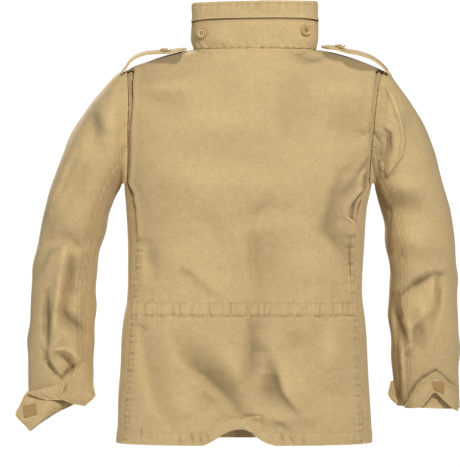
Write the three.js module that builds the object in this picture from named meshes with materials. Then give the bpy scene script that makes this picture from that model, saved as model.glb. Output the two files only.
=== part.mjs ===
// A hip-length field jacket, filled out as if worn, with its arms hanging.
// Millimetres. +X is the wearer's right, +Y the wearer's front, +Z up.
// The origin is on the centre plane at the height of the nape, between the shoulders.
import * as THREE from 'three';

// Cloth and seams
const CLOTH = 1.6;
const SEAM_GAP = 0.3;
const DEG = Math.PI / 180;

// Shoulders and neck
const SHOULDER_HALF = 253;
const NECK_HALF = 118;
const SHOULDER_CURVE = 1.55;
const NECK_BACK_SQUARE = 3;
const NECK_FRONT_SQUARE = 2.2;
const ARMPIT_LEVEL = 0.66;

// Torso sections from the hem (v 0) to the neck and shoulder seam (v 1). z: height at the
// centre back, cx: centre line, w: half width, back and front: depths, n: squareness, neck: how
// far the row takes the neckline's shape, ridge: height beside the neck, fall: drop from there
// to the armhole, dip: drop to the centre front.
const TORSO = [
  { v: 0.00, z: -760, cx: -22, w: 247, back: 122, front: 128, n: 2.5, neck: 0.00, ridge: -760, fall: 0, dip: 0 },
  { v: 0.12, z: -673, cx: -22, w: 242, back: 120, front: 127, n: 2.5, neck: 0.00, ridge: -673, fall: 0, dip: 0 },
  { v: 0.22, z: -597, cx: -21, w: 237, back: 117, front: 124, n: 2.5, neck: 0.00, ridge: -597, fall: 0, dip: 0 },
  { v: 0.32, z: -521, cx: -20, w: 234, back: 113, front: 120, n: 2.5, neck: 0.00, ridge: -521, fall: 0, dip: 0 },
  { v: 0.37, z: -483, cx: -20, w: 230, back: 111, front: 118, n: 2.5, neck: 0.00, ridge: -483, fall: 0, dip: 0 },
  { v: 0.48, z: -399, cx: -18, w: 227, back: 114, front: 120, n: 2.6, neck: 0.00, ridge: -399, fall: 0, dip: 0 },
  { v: 0.60, z: -308, cx: -16, w: 232, back: 120, front: 125, n: 2.8, neck: 0.00, ridge: -308, fall: 0, dip: 0 },
  { v: 0.66, z: -258, cx: -13, w: 238, back: 123, front: 127, n: 3.0, neck: 0.00, ridge: -258, fall: 0, dip: 0 },
  { v: 0.72, z: -172, cx: -9, w: 246, back: 118, front: 125, n: 3.3, neck: 0.00, ridge: -150, fall: -14, dip: -23 },
  { v: 0.80, z: -107, cx: -5, w: 250, back: 105, front: 121, n: 3.3, neck: 0.05, ridge: -80, fall: -27, dip: -36 },
  { v: 0.88, z: -60, cx: -3, w: 252, back: 86, front: 112, n: 3.3, neck: 0.20, ridge: -38, fall: -35, dip: -48 },
  { v: 0.93, z: -33, cx: -1, w: 253, back: 71, front: 102, n: 3.2, neck: 0.37, ridge: -17, fall: -39, dip: -55 },
  { v: 0.97, z: -13, cx: 0, w: 253, back: 59, front: 92, n: 3.0, neck: 0.63, ridge: -6, fall: -41, dip: -59 },
  { v: 1.00, z: 0, cx: 0, w: 253, back: 50, front: 82, n: 2.8, neck: 1.00, ridge: -1, fall: -42, dip: -60 },
];

// Angle round the torso, from the centre back, of the side seam and of the armhole's two edges
const EDGES = [
  { v: 0.00, back: 66, front: 66 },
  { v: 0.37, back: 67, front: 67 },
  { v: 0.60, back: 72, front: 72 },
  { v: 0.66, back: 76, front: 76 },
  { v: 0.67, back: 74, front: 90 },
  { v: 0.69, back: 71, front: 103 },
  { v: 0.73, back: 69, front: 114 },
  { v: 0.80, back: 68, front: 119 },
  { v: 0.88, back: 70, front: 118 },
  { v: 0.93, back: 72, front: 113 },
  { v: 0.97, back: 76, front: 105 },
  { v: 0.99, back: 82, front: 97 },
  { v: 1.00, back: 88, front: 92 },
];

// Sleeve rings below the armhole. ox, oz: outermost point, ix, iz: point nearest the body,
// y: middle of the depth, d: half depth, lean: how far the back hangs below the middle.
const SLEEVES = {
  left: [
    { ox: 281, oz: -60, ix: 263, iz: -268, y: 9, d: 79, lean: 0 },
    { ox: 318, oz: -106, ix: 270, iz: -281, y: 10, d: 83, lean: 0 },
    { ox: 357, oz: -168, ix: 277, iz: -300, y: 11, d: 84, lean: 0 },
    { ox: 384, oz: -230, ix: 286, iz: -324, y: 13, d: 82, lean: 0 },
    { ox: 403, oz: -291, ix: 293, iz: -354, y: 15, d: 79, lean: 0 },
    { ox: 417, oz: -353, ix: 302, iz: -393, y: 18, d: 75, lean: 0 },
    { ox: 429, oz: -415, ix: 307, iz: -437, y: 21, d: 71, lean: 0 },
    { ox: 436, oz: -477, ix: 312, iz: -487, y: 24, d: 66, lean: 0 },
    { ox: 438, oz: -540, ix: 312, iz: -543, y: 27, d: 61, lean: 0 },
    { ox: 442, oz: -600, ix: 315, iz: -600, y: 30, d: 54, lean: 5 },
    { ox: 440, oz: -662, ix: 316, iz: -668, y: 32, d: 46, lean: 9 },
  ],
  right: [
    { ox: 272, oz: -60, ix: 235, iz: -272, y: 9, d: 79, lean: 0 },
    { ox: 305, oz: -106, ix: 240, iz: -290, y: 10, d: 83, lean: 0 },
    { ox: 336, oz: -168, ix: 246, iz: -312, y: 11, d: 84, lean: 0 },
    { ox: 357, oz: -230, ix: 252, iz: -338, y: 13, d: 82, lean: 0 },
    { ox: 374, oz: -291, ix: 255, iz: -367, y: 15, d: 79, lean: 0 },
    { ox: 386, oz: -353, ix: 259, iz: -401, y: 18, d: 75, lean: 0 },
    { ox: 391, oz: -415, ix: 262, iz: -441, y: 21, d: 71, lean: 0 },
    { ox: 394, oz: -477, ix: 262, iz: -491, y: 24, d: 66, lean: 0 },
    { ox: 396, oz: -548, ix: 264, iz: -552, y: 27, d: 61, lean: 0 },
    { ox: 397, oz: -618, ix: 268, iz: -620, y: 30, d: 54, lean: 0 },
    { ox: 398, oz: -696, ix: 277, iz: -690, y: 32, d: 46, lean: 1 },
  ],
};
const SIGN = { left: -1, right: 1 };
const SLEEVE_LENGTH = 640;
const SLEEVE_RADIUS = 70;
const CAP_SHARE = 0.06;
const ARMHOLE_GAP = { top: 3, side: 1.3, low: 2.8 };

// Columns of the top and the under sleeve, in degrees round it. They meet at the two long seams.
const SLEEVE_COLUMNS = {
  top: [-64, -45, -27, -12, 0, 12, 27, 45, 65, 86, 107, 128],
  under: [128, 147, 165, 180, 195, 213, 232, 253, 275, 296],
};

// The largest folds of the back: a soft trough (depth below 0) or ridge between two points
const BACK_FOLDS = [
  { x0: -165, z0: -588, x1: -30, z1: -700, width: 34, depth: -11 },
  { x0: -4, z0: -515, x1: -10, z1: -640, width: 26, depth: -8 },
  { x0: 38, z0: -600, x1: 24, z1: -700, width: 28, depth: -12 },
  { x0: 24, z0: -700, x1: 92, z1: -706, width: 26, depth: -9 },
  { x0: -212, z0: -560, x1: -190, z1: -705, width: 30, depth: -8 },
  { x0: 105, z0: -530, x1: 88, z1: -660, width: 34, depth: -6 },
  { x0: 158, z0: -272, x1: 138, z1: -352, width: 30, depth: -9 },
  { x0: 138, z0: -352, x1: 180, z1: -400, width: 26, depth: -9 },
  { x0: -4, z0: -355, x1: 34, z1: -440, width: 32, depth: -7 },
  { x0: -106, z0: -318, x1: -62, z1: -384, width: 34, depth: -6 },
  { x0: -145, z0: -408, x1: -212, z1: -466, width: 24, depth: 6 },
  { x0: -145, z0: -165, x1: 0, z1: -190, width: 48, depth: -6 },
  { x0: 60, z0: -150, x1: 200, z1: -178, width: 44, depth: -6 },
];

// The largest folds of the sleeves. a: angle round the sleeve from its outer side towards the
// back, s: share of the sleeve's length.
const SLEEVE_FOLDS = {
  left: [
    { a0: 58, s0: 0.62, a1: 62, s1: 0.90, width: 17, depth: -17 },
    { a0: 62, s0: 0.90, a1: 104, s1: 0.98, width: 24, depth: -14 },
    { a0: 84, s0: 0.52, a1: 96, s1: 0.80, width: 18, depth: -8 },
    { a0: 66, s0: 0.28, a1: 50, s1: 0.44, width: 20, depth: -8 },
    { a0: 20, s0: 0.18, a1: 76, s1: 0.25, width: 24, depth: -7 },
  ],
  right: [
    { a0: 118, s0: 0.10, a1: 80, s1: 0.20, width: 22, depth: -10 },
    { a0: 80, s0: 0.10, a1: 62, s1: 0.26, width: 20, depth: 7 },
    { a0: 96, s0: 0.58, a1: 60, s1: 0.54, width: 20, depth: -8 },
    { a0: 122, s0: 0.86, a1: 140, s1: 0.70, width: 18, depth: -9 },
  ],
};

// The hem rises in one pinched place at the back
const HEM_PINCH = { x: -27, rise: 33, reach: 34, tuck: 16, height: 70 };

// Action pleats beside the armholes, and the casing of the waist's drawcord
const PLEAT = { edge: 11, wide: 27, bottom: -359, turn: 6, drop: 1.2, low: 0.526, high: 0.965 };
const CASING = { low: 0.33, high: 0.365, cloth: 1.2 };

// The back's grid: columns from the centre to the side, and rows by level. Back and fronts share
// their rows up to the armpit.
const BACK_HALF = [0, 0.05, 0.13, 0.18, 0.215, 0.235, 0.29, 0.38, 0.5, 0.63, 0.77, 0.89, 0.97, 1];
const TOP = 0.9975;
const BODY_ROWS = [
  0, 0.035, 0.08, 0.125, 0.17, 0.21, 0.25, 0.29, 0.305, CASING.low, CASING.high, 0.40, 0.44, 0.485,
  0.526, 0.542, 0.58, 0.62, 0.66,
];
const BACK_ROWS = [...BODY_ROWS, 0.70, 0.74, 0.78, 0.82, 0.86, 0.90, 0.94, 0.965, 0.982, TOP];

// The fronts' grid: columns by distance from the centre front, where one past FRONT_FLAT is a
// share in hundredths of the way on to the side seam, and rows by level
const FRONT_FLAT = 204;
const FRONT_EDGE = 3.2;
const FRONT_HALF = [FRONT_EDGE, 16, 40, 46, 82, 101, 112, 118, 151, 184, FRONT_FLAT, 250, 304];
const FRONT_ROWS = [...BODY_ROWS, 0.70, 0.715, 0.76, 0.80, 0.84, 0.88, 0.92, 0.95, 0.975, TOP];

// Patch pockets and their flaps: distances from the centre front and levels
const POCKETS = [
  { name: 'chest', near: 46, far: 184, low: 0.526, high: 0.70, flapLow: 0.62, flapHigh: 0.715 },
  { name: 'hip', near: 46, far: 204, low: 0.035, high: 0.29, flapLow: 0.21, flapHigh: 0.305 },
];
const POCKET_CLOTH = 2;
const FLAP_CLOTH = 2.2;

// The centre front's zip lies inside the two edges, and the fly on the left front lies over it
const ZIP = { half: 16, thick: 1.2, top: 0.95 };
const FLY = { right: 16, left: 40, thick: 2.2, top: 0.975 };
const FLY_SNAPS = [0.0875, 0.23, 0.3825, 0.56, 0.738];

// Collar: an inner layer, and an outer layer parted by the hood's zip. The zip's two shares of
// the height are at the centre back, and it falls by the last share towards the sides.
const COLLAR = { back: 90, front: 74, inner: 1.6, outer: 2.2, low: 0.66, high: 0.71, fall: 0.08, end: 176 };

// Small parts
const BUTTON = { radius: 10, thick: 3.2, rim: 1.6, dish: 1.1 };
const SNAP = { radius: 7.5, thick: 2.4 };

const FABRIC = new THREE.MeshStandardMaterial({ color: 0xc6ab78, roughness: 0.9, metalness: 0 });
const TAPE = new THREE.MeshStandardMaterial({ color: 0x8a7654, roughness: 0.8, metalness: 0 });
const NAP = new THREE.MeshStandardMaterial({ color: 0xa88853, roughness: 1, metalness: 0 });
const HORN = new THREE.MeshStandardMaterial({ color: 0xb98d45, roughness: 0.4, metalness: 0 });
const BRASS = new THREE.MeshStandardMaterial({ color: 0x8f7a50, roughness: 0.45, metalness: 0.8 });

// A smooth curve through one column of a table that never swings past its rows
function track(rows, key, column) {
  const xs = rows.map((row) => row[key]);
  const ys = rows.map((row) => row[column]);
  const last = xs.length - 1;
  const rise = xs.slice(1).map((x, i) => (ys[i + 1] - ys[i]) / (x - xs[i]));
  const slope = ys.map((_, i) => {
    if (i === 0) return rise[0];
    if (i === last) return rise[last - 1];
    if (rise[i - 1] * rise[i] <= 0) return 0;
    return (2 * rise[i - 1] * rise[i]) / (rise[i - 1] + rise[i]);
  });
  return (at) => {
    let i = 0;
    while (i < last - 1 && at > xs[i + 1]) i += 1;
    const step = xs[i + 1] - xs[i];
    const t = THREE.MathUtils.clamp((at - xs[i]) / step, 0, 1);
    const keep = (1 + 2 * t) * (1 - t) * (1 - t);
    const lead = t * (1 - t) * (1 - t) * step;
    const next = t * t * (3 - 2 * t);
    const trail = t * t * (t - 1) * step;
    return keep * ys[i] + lead * slope[i] + next * ys[i + 1] + trail * slope[i + 1];
  };
}

function tracks(rows, key) {
  const columns = Object.keys(rows[0]).filter((name) => name !== key);
  return Object.fromEntries(columns.map((name) => [name, track(rows, key, name)]));
}

const torso = tracks(TORSO, 'v');
const edges = tracks(EDGES, 'v');
const mix = THREE.MathUtils.lerp;

// Rises smoothly from 0 at the first bound to 1 at the second, whichever is larger
function ease(from, to, at) {
  const t = THREE.MathUtils.clamp((at - from) / (to - from), 0, 1);
  return t * t * (3 - 2 * t);
}

// Distance from a point to a segment, and how far along it the nearest point is
function alongSegment(px, pz, x0, z0, x1, z1) {
  const dx = x1 - x0;
  const dz = z1 - z0;
  const t = THREE.MathUtils.clamp(((px - x0) * dx + (pz - z0) * dz) / (dx * dx + dz * dz), 0, 1);
  return { t, distance: Math.hypot(px - x0 - t * dx, pz - z0 - t * dz) };
}

// Depth of a set of soft folds at a point; each fades towards its two ends
function foldDepth(folds, px, pz) {
  return folds.reduce((sum, fold) => {
    const near = alongSegment(px, pz, fold.x0, fold.z0, fold.x1, fold.z1);
    const fade = 0.45 + 0.55 * Math.sin(Math.PI * near.t);
    return sum + fold.depth * fade * Math.exp(-((near.distance / fold.width) ** 2));
  }, 0);
}

// One half of a torso row: side -1 is the back, 1 the front. x is from the centre plane.
function torsoHalf(v, x, side) {
  const reach = Math.min(Math.abs(x) / torso.w(v), 1);
  const squareness = torso.n(v);
  const round = (1 - reach ** squareness) ** (1 / squareness);
  const neckReach = Math.min(Math.abs(x) / NECK_HALF, 1);
  const neckPower = side < 0 ? NECK_BACK_SQUARE : NECK_FRONT_SQUARE;
  const neck = (1 - neckReach ** neckPower) ** (1 / neckPower);
  const depth = side < 0 ? torso.back(v) : torso.front(v);
  const y = side * (SEAM_GAP + depth * mix(round, neck, torso.neck(v)));
  const across = THREE.MathUtils.clamp((Math.abs(x) - NECK_HALF) / (SHOULDER_HALF - NECK_HALF), 0, 1.1);
  let z = mix(torso.z(v), torso.ridge(v), ease(30, 130, Math.abs(x)));
  z += torso.fall(v) * across ** SHOULDER_CURVE;
  if (side > 0) z += torso.dip(v) * (1 - neckReach ** 2);
  return new THREE.Vector3(x + torso.cx(v), y, z);
}

// A point of the torso's surface at a level v and an angle in degrees from the centre back
function torsoPoint(v, angle) {
  const sine = Math.sin(angle * DEG);
  const x = torso.w(v) * Math.sign(sine) * Math.abs(sine) ** (2 / torso.n(v));
  const side = Math.cos(angle * DEG) > 0 ? -1 : 1;
  const point = torsoHalf(v, x, side);
  if (side < 0) creaseBack(point, v, ease(1, 0.8, Math.abs(angle) / edges.back(v)));
  return point;
}

// The back's folds, which fade at the side seams, and the pinch in its hem
function creaseBack(point, v, inside) {
  point.y -= inside * ease(1, 0.9, v) * foldDepth(BACK_FOLDS, point.x, point.z);
  const near = Math.exp(-(((point.x - HEM_PINCH.x) / HEM_PINCH.reach) ** 2));
  const low = ease(TORSO[0].z + HEM_PINCH.height, TORSO[0].z, point.z);
  point.z += HEM_PINCH.rise * near * low;
  point.y += HEM_PINCH.tuck * near * Math.sin(Math.PI * low);
}

function meshFrom(name, positions, triangles, material) {
  const geometry = new THREE.BufferGeometry();
  geometry.setAttribute('position', new THREE.Float32BufferAttribute(positions.flatMap((p) => p.toArray()), 3));
  geometry.setIndex(triangles);
  geometry.computeVertexNormals();
  const mesh = new THREE.Mesh(geometry, material);
  mesh.name = name;
  return mesh;
}

function normalAt(surface, u, w) {
  const h = 1e-3;
  const alongU = surface(u + h, w).sub(surface(u - h, w));
  const alongW = surface(u, w + h).sub(surface(u, w - h));
  return alongU.cross(alongW).normalize();
}

// A surface's point moved along its normal
function lifted(surface, u, w, lift) {
  return surface(u, w).addScaledVector(normalAt(surface, u, w), lift);
}

// A cloth wall on a surface(u, w), over the grid of the values in us and ws. The normal, u cross
// w, points to the outer face, and base moves the wall's middle out along it.
function wall(name, surface, us, ws, options = {}) {
  const { thick = CLOTH, base = 0, material = FABRIC } = options;
  const rows = ws.length;
  const columns = us.length;
  const outer = [];
  const inner = [];
  us.forEach((u) => ws.forEach((w) => {
    outer.push(lifted(surface, u, w, base + thick / 2));
    inner.push(lifted(surface, u, w, base - thick / 2));
  }));
  const shift = outer.length;
  const triangles = [];
  const quad = (a, b, c, d) => triangles.push(a, b, c, a, c, d);
  const at = (i, j) => i * rows + j;
  const end = columns - 1;
  for (let i = 0; i < end; i += 1) {
    for (let j = 0; j < rows - 1; j += 1) {
      quad(at(i, j), at(i + 1, j), at(i + 1, j + 1), at(i, j + 1));
      quad(shift + at(i, j), shift + at(i, j + 1), shift + at(i + 1, j + 1), shift + at(i + 1, j));
    }
    quad(at(i, 0), shift + at(i, 0), shift + at(i + 1, 0), at(i + 1, 0));
    quad(at(i, rows - 1), at(i + 1, rows - 1), shift + at(i + 1, rows - 1), shift + at(i, rows - 1));
  }
  for (let j = 0; j < rows - 1; j += 1) {
    quad(at(0, j), at(0, j + 1), shift + at(0, j + 1), shift + at(0, j));
    quad(at(end, j), shift + at(end, j), shift + at(end, j + 1), at(end, j + 1));
  }
  return meshFrom(name, [...outer, ...inner], triangles, material);
}

const shares = (count, low = 0, high = 1) =>
  Array.from({ length: count + 1 }, (_, i) => mix(low, high, i / count));

const within = (values, low, high) => values.filter((value) => value >= low && value <= high);
const mirrored = (half) => [...half.map((value) => -value).reverse(), ...half.slice(half[0] === 0 ? 1 : 0)];

// Angle that a width of cloth takes at a level, near a side edge
const angleOf = (width, v) => (width / (torso.back(v) * 0.9)) / DEG;

// The back's surface. u is -1 to 1 over the panel between its two edges, and 2 or -2 at the side
// seam or armhole, past the fold of an action pleat.
function backPoint(u, v) {
  const seam = edges.back(v) - angleOf(SEAM_GAP / 2, v);
  const closed = ease(PLEAT.high, 0.985, v);
  const open = ease(PLEAT.bottom - PLEAT.turn, PLEAT.bottom + PLEAT.turn, torso.z(v)) * (1 - closed);
  const wide = mix(PLEAT.wide, PLEAT.edge, ease(PLEAT.bottom, torso.z(ARMPIT_LEVEL), torso.z(v)));
  const fold = seam - open * angleOf(wide, v);
  const share = Math.abs(u);
  const angle = share <= 1 ? share * fold : mix(fold, seam, share - 1);
  return torsoPoint(v, Math.sign(u) * angle);
}

const backPanel = () => wall('back', backPoint, mirrored(BACK_HALF), BACK_ROWS);

// The pleat's underlay, inside the back panel, from under its fold out to the armhole
function pleatUnderlay(side) {
  const columns = [BACK_HALF.at(-3), BACK_HALF.at(-2), 1, 1.95];
  const us = side === 'right' ? columns : columns.map((u) => -u).reverse();
  const rows = within(BACK_ROWS, PLEAT.low, PLEAT.high);
  return wall(`pleat_${side}`, backPoint, us, rows, { base: -CLOTH - PLEAT.drop });
}

function waistCasing() {
  const base = CLOTH / 2 + SEAM_GAP + CASING.cloth / 2;
  const rows = [CASING.low, CASING.high];
  return wall('waist_casing', backPoint, mirrored(BACK_HALF.slice(0, -1)), rows, { thick: CASING.cloth, base });
}

// The fronts' surface. u is the distance from the centre front, to the left above 0.
function frontPoint(u, v) {
  const reach = Math.abs(u);
  const ahead = (x) => 180 - Math.asin((x / torso.w(v)) ** (torso.n(v) / 2)) / DEG;
  const seam = edges.front(v) + angleOf(SEAM_GAP / 2, v);
  const angle = reach <= FRONT_FLAT ? ahead(reach) : mix(ahead(FRONT_FLAT), seam, (reach - FRONT_FLAT) / 100);
  return torsoPoint(v, u < 0 ? angle : -angle);
}

// A wall on the fronts between two distances and two levels of their grid
function onFront(name, from, to, low, high, options) {
  const columns = within(mirrored(FRONT_HALF), from, to);
  return wall(name, frontPoint, columns, within(FRONT_ROWS, low, high), options);
}

function frontPanel(side) {
  const far = FRONT_HALF.at(-1);
  const ends = side === 'left' ? [FRONT_EDGE, far] : [-far, -FRONT_EDGE];
  return onFront(`front_${side}`, ...ends, 0, 1);
}

function pocketParts(pocket, side) {
  const ends = side === 'left' ? [pocket.near, pocket.far] : [-pocket.far, -pocket.near];
  const base = CLOTH / 2 + SEAM_GAP + POCKET_CLOTH / 2;
  const top = base + POCKET_CLOTH / 2 + SEAM_GAP + FLAP_CLOTH / 2;
  return [
    onFront(`pocket_${pocket.name}_${side}`, ...ends, pocket.low, pocket.high, { thick: POCKET_CLOTH, base }),
    onFront(`flap_${pocket.name}_${side}`, ...ends, pocket.flapLow, pocket.flapHigh,
      { thick: FLAP_CLOTH, base: top }),
  ];
}

function frontClosure() {
  const inside = -(CLOTH / 2 + SEAM_GAP + ZIP.thick / 2);
  const outside = CLOTH / 2 + SEAM_GAP + FLY.thick / 2;
  return [
    onFront('front_zip', -ZIP.half, ZIP.half, 0, ZIP.top, { thick: ZIP.thick, base: inside, material: TAPE }),
    onFront('front_fly', -FLY.right, FLY.left, 0, FLY.top, { thick: FLY.thick, base: outside }),
  ];
}

function flySnap(v, index) {
  const u = (FLY.left - FLY.right) / 2 + 4;
  const normal = normalAt(frontPoint, u, v);
  const face = CLOTH / 2 + SEAM_GAP + FLY.thick + 0.4;
  const centre = frontPoint(u, v).addScaledVector(normal, face);
  return button(`fly_snap_${index + 1}`, centre, normal, SNAP, BRASS);
}

// The armhole's edge as a closed loop from the shoulder point, down the back and up the front
function armholeLoop(side) {
  const levels = [1, 0.995, 0.98, 0.96, 0.93, 0.89, 0.84, 0.79, 0.75, 0.715, 0.69, 0.675, 0.665, ARMPIT_LEVEL];
  const down = levels.map((v) => torsoPoint(v, SIGN[side] * edges.back(v)));
  const up = levels.slice(1, -1).reverse().map((v) => torsoPoint(v, SIGN[side] * edges.front(v)));
  const points = [...down, ...up];
  const sums = [0];
  points.forEach((point, i) => sums.push(sums[i] + point.distanceTo(points[(i + 1) % points.length])));
  const armpit = sums[down.length - 1];
  const whole = sums[points.length];
  return (angle) => {
    const turn = THREE.MathUtils.euclideanModulo(angle, 360);
    const want = turn <= 180 ? (turn / 180) * armpit : armpit + ((turn - 180) / 180) * (whole - armpit);
    let i = 0;
    while (i < points.length - 1 && sums[i + 1] < want) i += 1;
    const t = (want - sums[i]) / (sums[i + 1] - sums[i]);
    return points[i].clone().lerp(points[(i + 1) % points.length], t);
  };
}

// A sleeve's surface: angle 0 is its outer side, 90 the back, 180 next to the body
function sleeveSurface(side) {
  const sign = SIGN[side];
  const loop = armholeLoop(side);
  const rows = SLEEVES[side].map((row, i) => ({ s: (i + 1) / SLEEVES[side].length, ...row }));
  const columns = tracks(rows, 's');
  const ring = (angle, s) => {
    const outer = new THREE.Vector3(sign * columns.ox(s), 0, columns.oz(s));
    const inner = new THREE.Vector3(sign * columns.ix(s), 0, columns.iz(s));
    const reach = outer.clone().sub(inner).multiplyScalar(0.5);
    const point = outer.add(inner).multiplyScalar(0.5).addScaledVector(reach, Math.cos(angle * DEG));
    point.y = columns.y(s) - columns.d(s) * Math.sin(angle * DEG);
    point.z -= columns.lean(s) * Math.sin(angle * DEG);
    return point;
  };
  const first = rows[0].s;
  return (angle, s) => {
    const rise = Math.cos(angle * DEG);
    const armhole = loop(angle);
    armhole.x += sign * mix(ARMHOLE_GAP.side, rise > 0 ? ARMHOLE_GAP.top : ARMHOLE_GAP.low, rise ** 8);
    if (s >= first) return ring(angle, s);
    const start = ring(angle, first);
    const ahead = ring(angle, first + 0.05).sub(start).multiplyScalar(first / 0.05);
    const leave = armhole.clone().add(new THREE.Vector3(sign * 12, 0, 0));
    const arrive = start.clone().addScaledVector(ahead, -0.33);
    return new THREE.CubicBezierCurve3(armhole, leave, arrive, start).getPoint(s / first);
  };
}

// The sleeve with its folds, moved towards its axis
function foldedSleeve(side) {
  const plain = sleeveSurface(side);
  const folds = SLEEVE_FOLDS[side].map((fold) => ({
    x0: fold.a0 * DEG * SLEEVE_RADIUS,
    z0: fold.s0 * SLEEVE_LENGTH,
    x1: fold.a1 * DEG * SLEEVE_RADIUS,
    z1: fold.s1 * SLEEVE_LENGTH,
    width: fold.width,
    depth: fold.depth,
  }));
  return (angle, s) => {
    const point = plain(angle, s);
    const turn = THREE.MathUtils.euclideanModulo(angle, 360);
    const calm = ease(CAP_SHARE, 3 * CAP_SHARE, s);
    const depth = calm * foldDepth(folds, turn * DEG * SLEEVE_RADIUS, s * SLEEVE_LENGTH);
    const inward = plain(angle + 180, s).sub(point).normalize();
    return point.addScaledVector(inward, -depth);
  };
}

// Top and under sleeve, parted by the two long seams
function sleevePart(side, part) {
  const folded = foldedSleeve(side);
  const sign = SIGN[side];
  const gap = (0.9 * SEAM_GAP) / SLEEVE_RADIUS / DEG;
  const angles = [...SLEEVE_COLUMNS[part]];
  angles[0] += gap;
  angles[angles.length - 1] -= gap;
  const us = sign > 0 ? angles.map((angle) => -angle).reverse() : angles;
  return wall(`sleeve_${part}_${side}`, (u, w) => folded(-sign * u, -w), us, shares(20, -1, 0));
}

// Collar surface: angle from the centre back, h from the neckline to the top edge
function collarPoint(angle, h) {
  const sine = Math.sin(angle * DEG);
  const front = Math.cos(angle * DEG) < 0;
  const power = front ? NECK_FRONT_SQUARE : NECK_BACK_SQUARE;
  const x = NECK_HALF * Math.sign(sine) * Math.abs(sine) ** (2 / power);
  const point = torsoHalf(1, x, front ? 1 : -1);
  const out = new THREE.Vector3(point.x, point.y, 0).normalize();
  const fore = (1 - Math.cos(angle * DEG)) / 2;
  const tall = mix(COLLAR.back, COLLAR.front, ease(0.5, 1, fore)) + 0.016 * x;
  point.addScaledVector(out, mix(-3.4, 0.5, ease(0, 0.25, h)) + 1.2 * Math.sin(Math.PI * h));
  point.z += mix(-3, tall, h) + 2.4 * fore;
  point.y += 6 * h * fore;
  return point;
}

function collarLayer(name, low, high, rows, options) {
  const dips = { low: low < COLLAR.low ? 0 : COLLAR.fall, high: high > COLLAR.high + 0.1 ? 0 : COLLAR.fall };
  const surface = (u, w) => {
    const side = Math.sin(Math.min(Math.abs(u), 90) * DEG) ** 2;
    return collarPoint(u, mix(low - dips.low * side, high - dips.high * side, w));
  };
  return wall(name, surface, shares(30, -COLLAR.end, COLLAR.end), shares(rows), options);
}

function collarParts() {
  const step = COLLAR.inner / 2 + 1.5 * SEAM_GAP + COLLAR.outer / 2;
  const outer = { thick: COLLAR.outer, base: step };
  const tape = { thick: 1, base: COLLAR.inner / 2 + SEAM_GAP + 0.5, material: TAPE };
  return [
    collarLayer('collar_inner', 0, 1, 3, { thick: COLLAR.inner }),
    collarLayer('collar_stand', 0.05, COLLAR.low, 2, outer),
    collarLayer('collar_upper', COLLAR.high, 1, 1, outer),
    collarLayer('collar_zip', COLLAR.low + 0.006, COLLAR.high - 0.006, 1, tape),
  ];
}

// A strap along a curve: middle(s) and across(s) from 0 to 1, with its half width at each share
function strap(name, middle, across, halfWidth, options = {}) {
  const { columns = 2, rows = 12, ...rest } = options;
  const surface = (u, w) => middle(w).addScaledVector(across(w), mix(-1, 1, u) * halfWidth(w));
  return wall(name, surface, shares(columns), shares(rows), rest);
}

// Shoulder straps, bowed clear of the shoulder, with the fastened end beside the collar
const STRAP = { thick: 2.4, rear: 25, end: 21 };
const STRAP_TILT = { left: 0.08, right: 0.16 };
const STRAP_LINE = {
  left: [[257.5, -41.4], [250, -33], [242, -21], [229, -12], [211, -6], [188, -4], [170, -4], [154, -1], [133, 2]],
  right: [[257.5, -41.4], [251, -34], [239, -23], [222, -13], [200, -6], [178, -2], [160, 3], [148, 5], [129, 6]],
};
function shoulderStrap(side) {
  const sign = SIGN[side];
  const points = STRAP_LINE[side].map(([x, z]) => new THREE.Vector3(sign * x, -2, z));
  const line = new THREE.CatmullRomCurve3(points);
  const across = new THREE.Vector3(0, sign, sign * STRAP_TILT[side]).normalize();
  const half = (s) => Math.min(mix(STRAP.rear, STRAP.end, s), mix(STRAP.rear, 7, ease(0.88, 1, s)));
  const middle = (s) => line.getPoint(THREE.MathUtils.clamp(s, 0, 1));
  return strap(`shoulder_strap_${side}`, middle, () => across.clone(), half,
    { thick: STRAP.thick, rows: 14 });
}

// A button or snap set on a face: a lathe, with a raised rim and a dished face where it has them
function button(name, centre, normal, size = BUTTON, material = HORN) {
  const { radius, thick, rim = 0, dish = 0 } = size;
  const dished = [[radius - rim, thick], [radius - rim - 1.4, thick - dish], [0, thick - dish]];
  const crown = rim > 0 ? dished : [[0, thick]];
  const profile = [[0, 0], [radius, 0], [radius, thick], ...crown].map(([r, h]) => new THREE.Vector2(r, h));
  const geometry = new THREE.LatheGeometry(profile, 16);
  const mesh = new THREE.Mesh(geometry, material);
  mesh.name = name;
  mesh.quaternion.setFromUnitVectors(new THREE.Vector3(0, 1, 0), normal);
  mesh.position.copy(centre);
  return mesh;
}

const COLLAR_BUTTONS = [
  { side: 'left', x: -102, z: 33 },
  { side: 'right', x: 97, z: 37 },
];
function collarButton({ side, x, z }) {
  const sine = (Math.abs(x) / (NECK_HALF + 4)) ** (NECK_BACK_SQUARE / 2);
  const angle = Math.sign(x) * Math.asin(sine) / DEG;
  const h = z / COLLAR.back;
  const normal = normalAt(collarPoint, angle, h);
  const face = COLLAR.inner / 2 + SEAM_GAP + COLLAR.outer + 0.6;
  return button(`collar_button_${side}`, collarPoint(angle, h).addScaledVector(normal, face), normal);
}

function strapButton(side) {
  const sign = SIGN[side];
  const [x, z] = STRAP_LINE[side][6];
  const normal = new THREE.Vector3(0, -STRAP_TILT[side], 1).normalize();
  const centre = new THREE.Vector3(sign * (x + 4), -2, z).addScaledVector(normal, STRAP.thick / 2 + 1.2);
  return button(`strap_button_${side}`, centre, normal);
}

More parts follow.
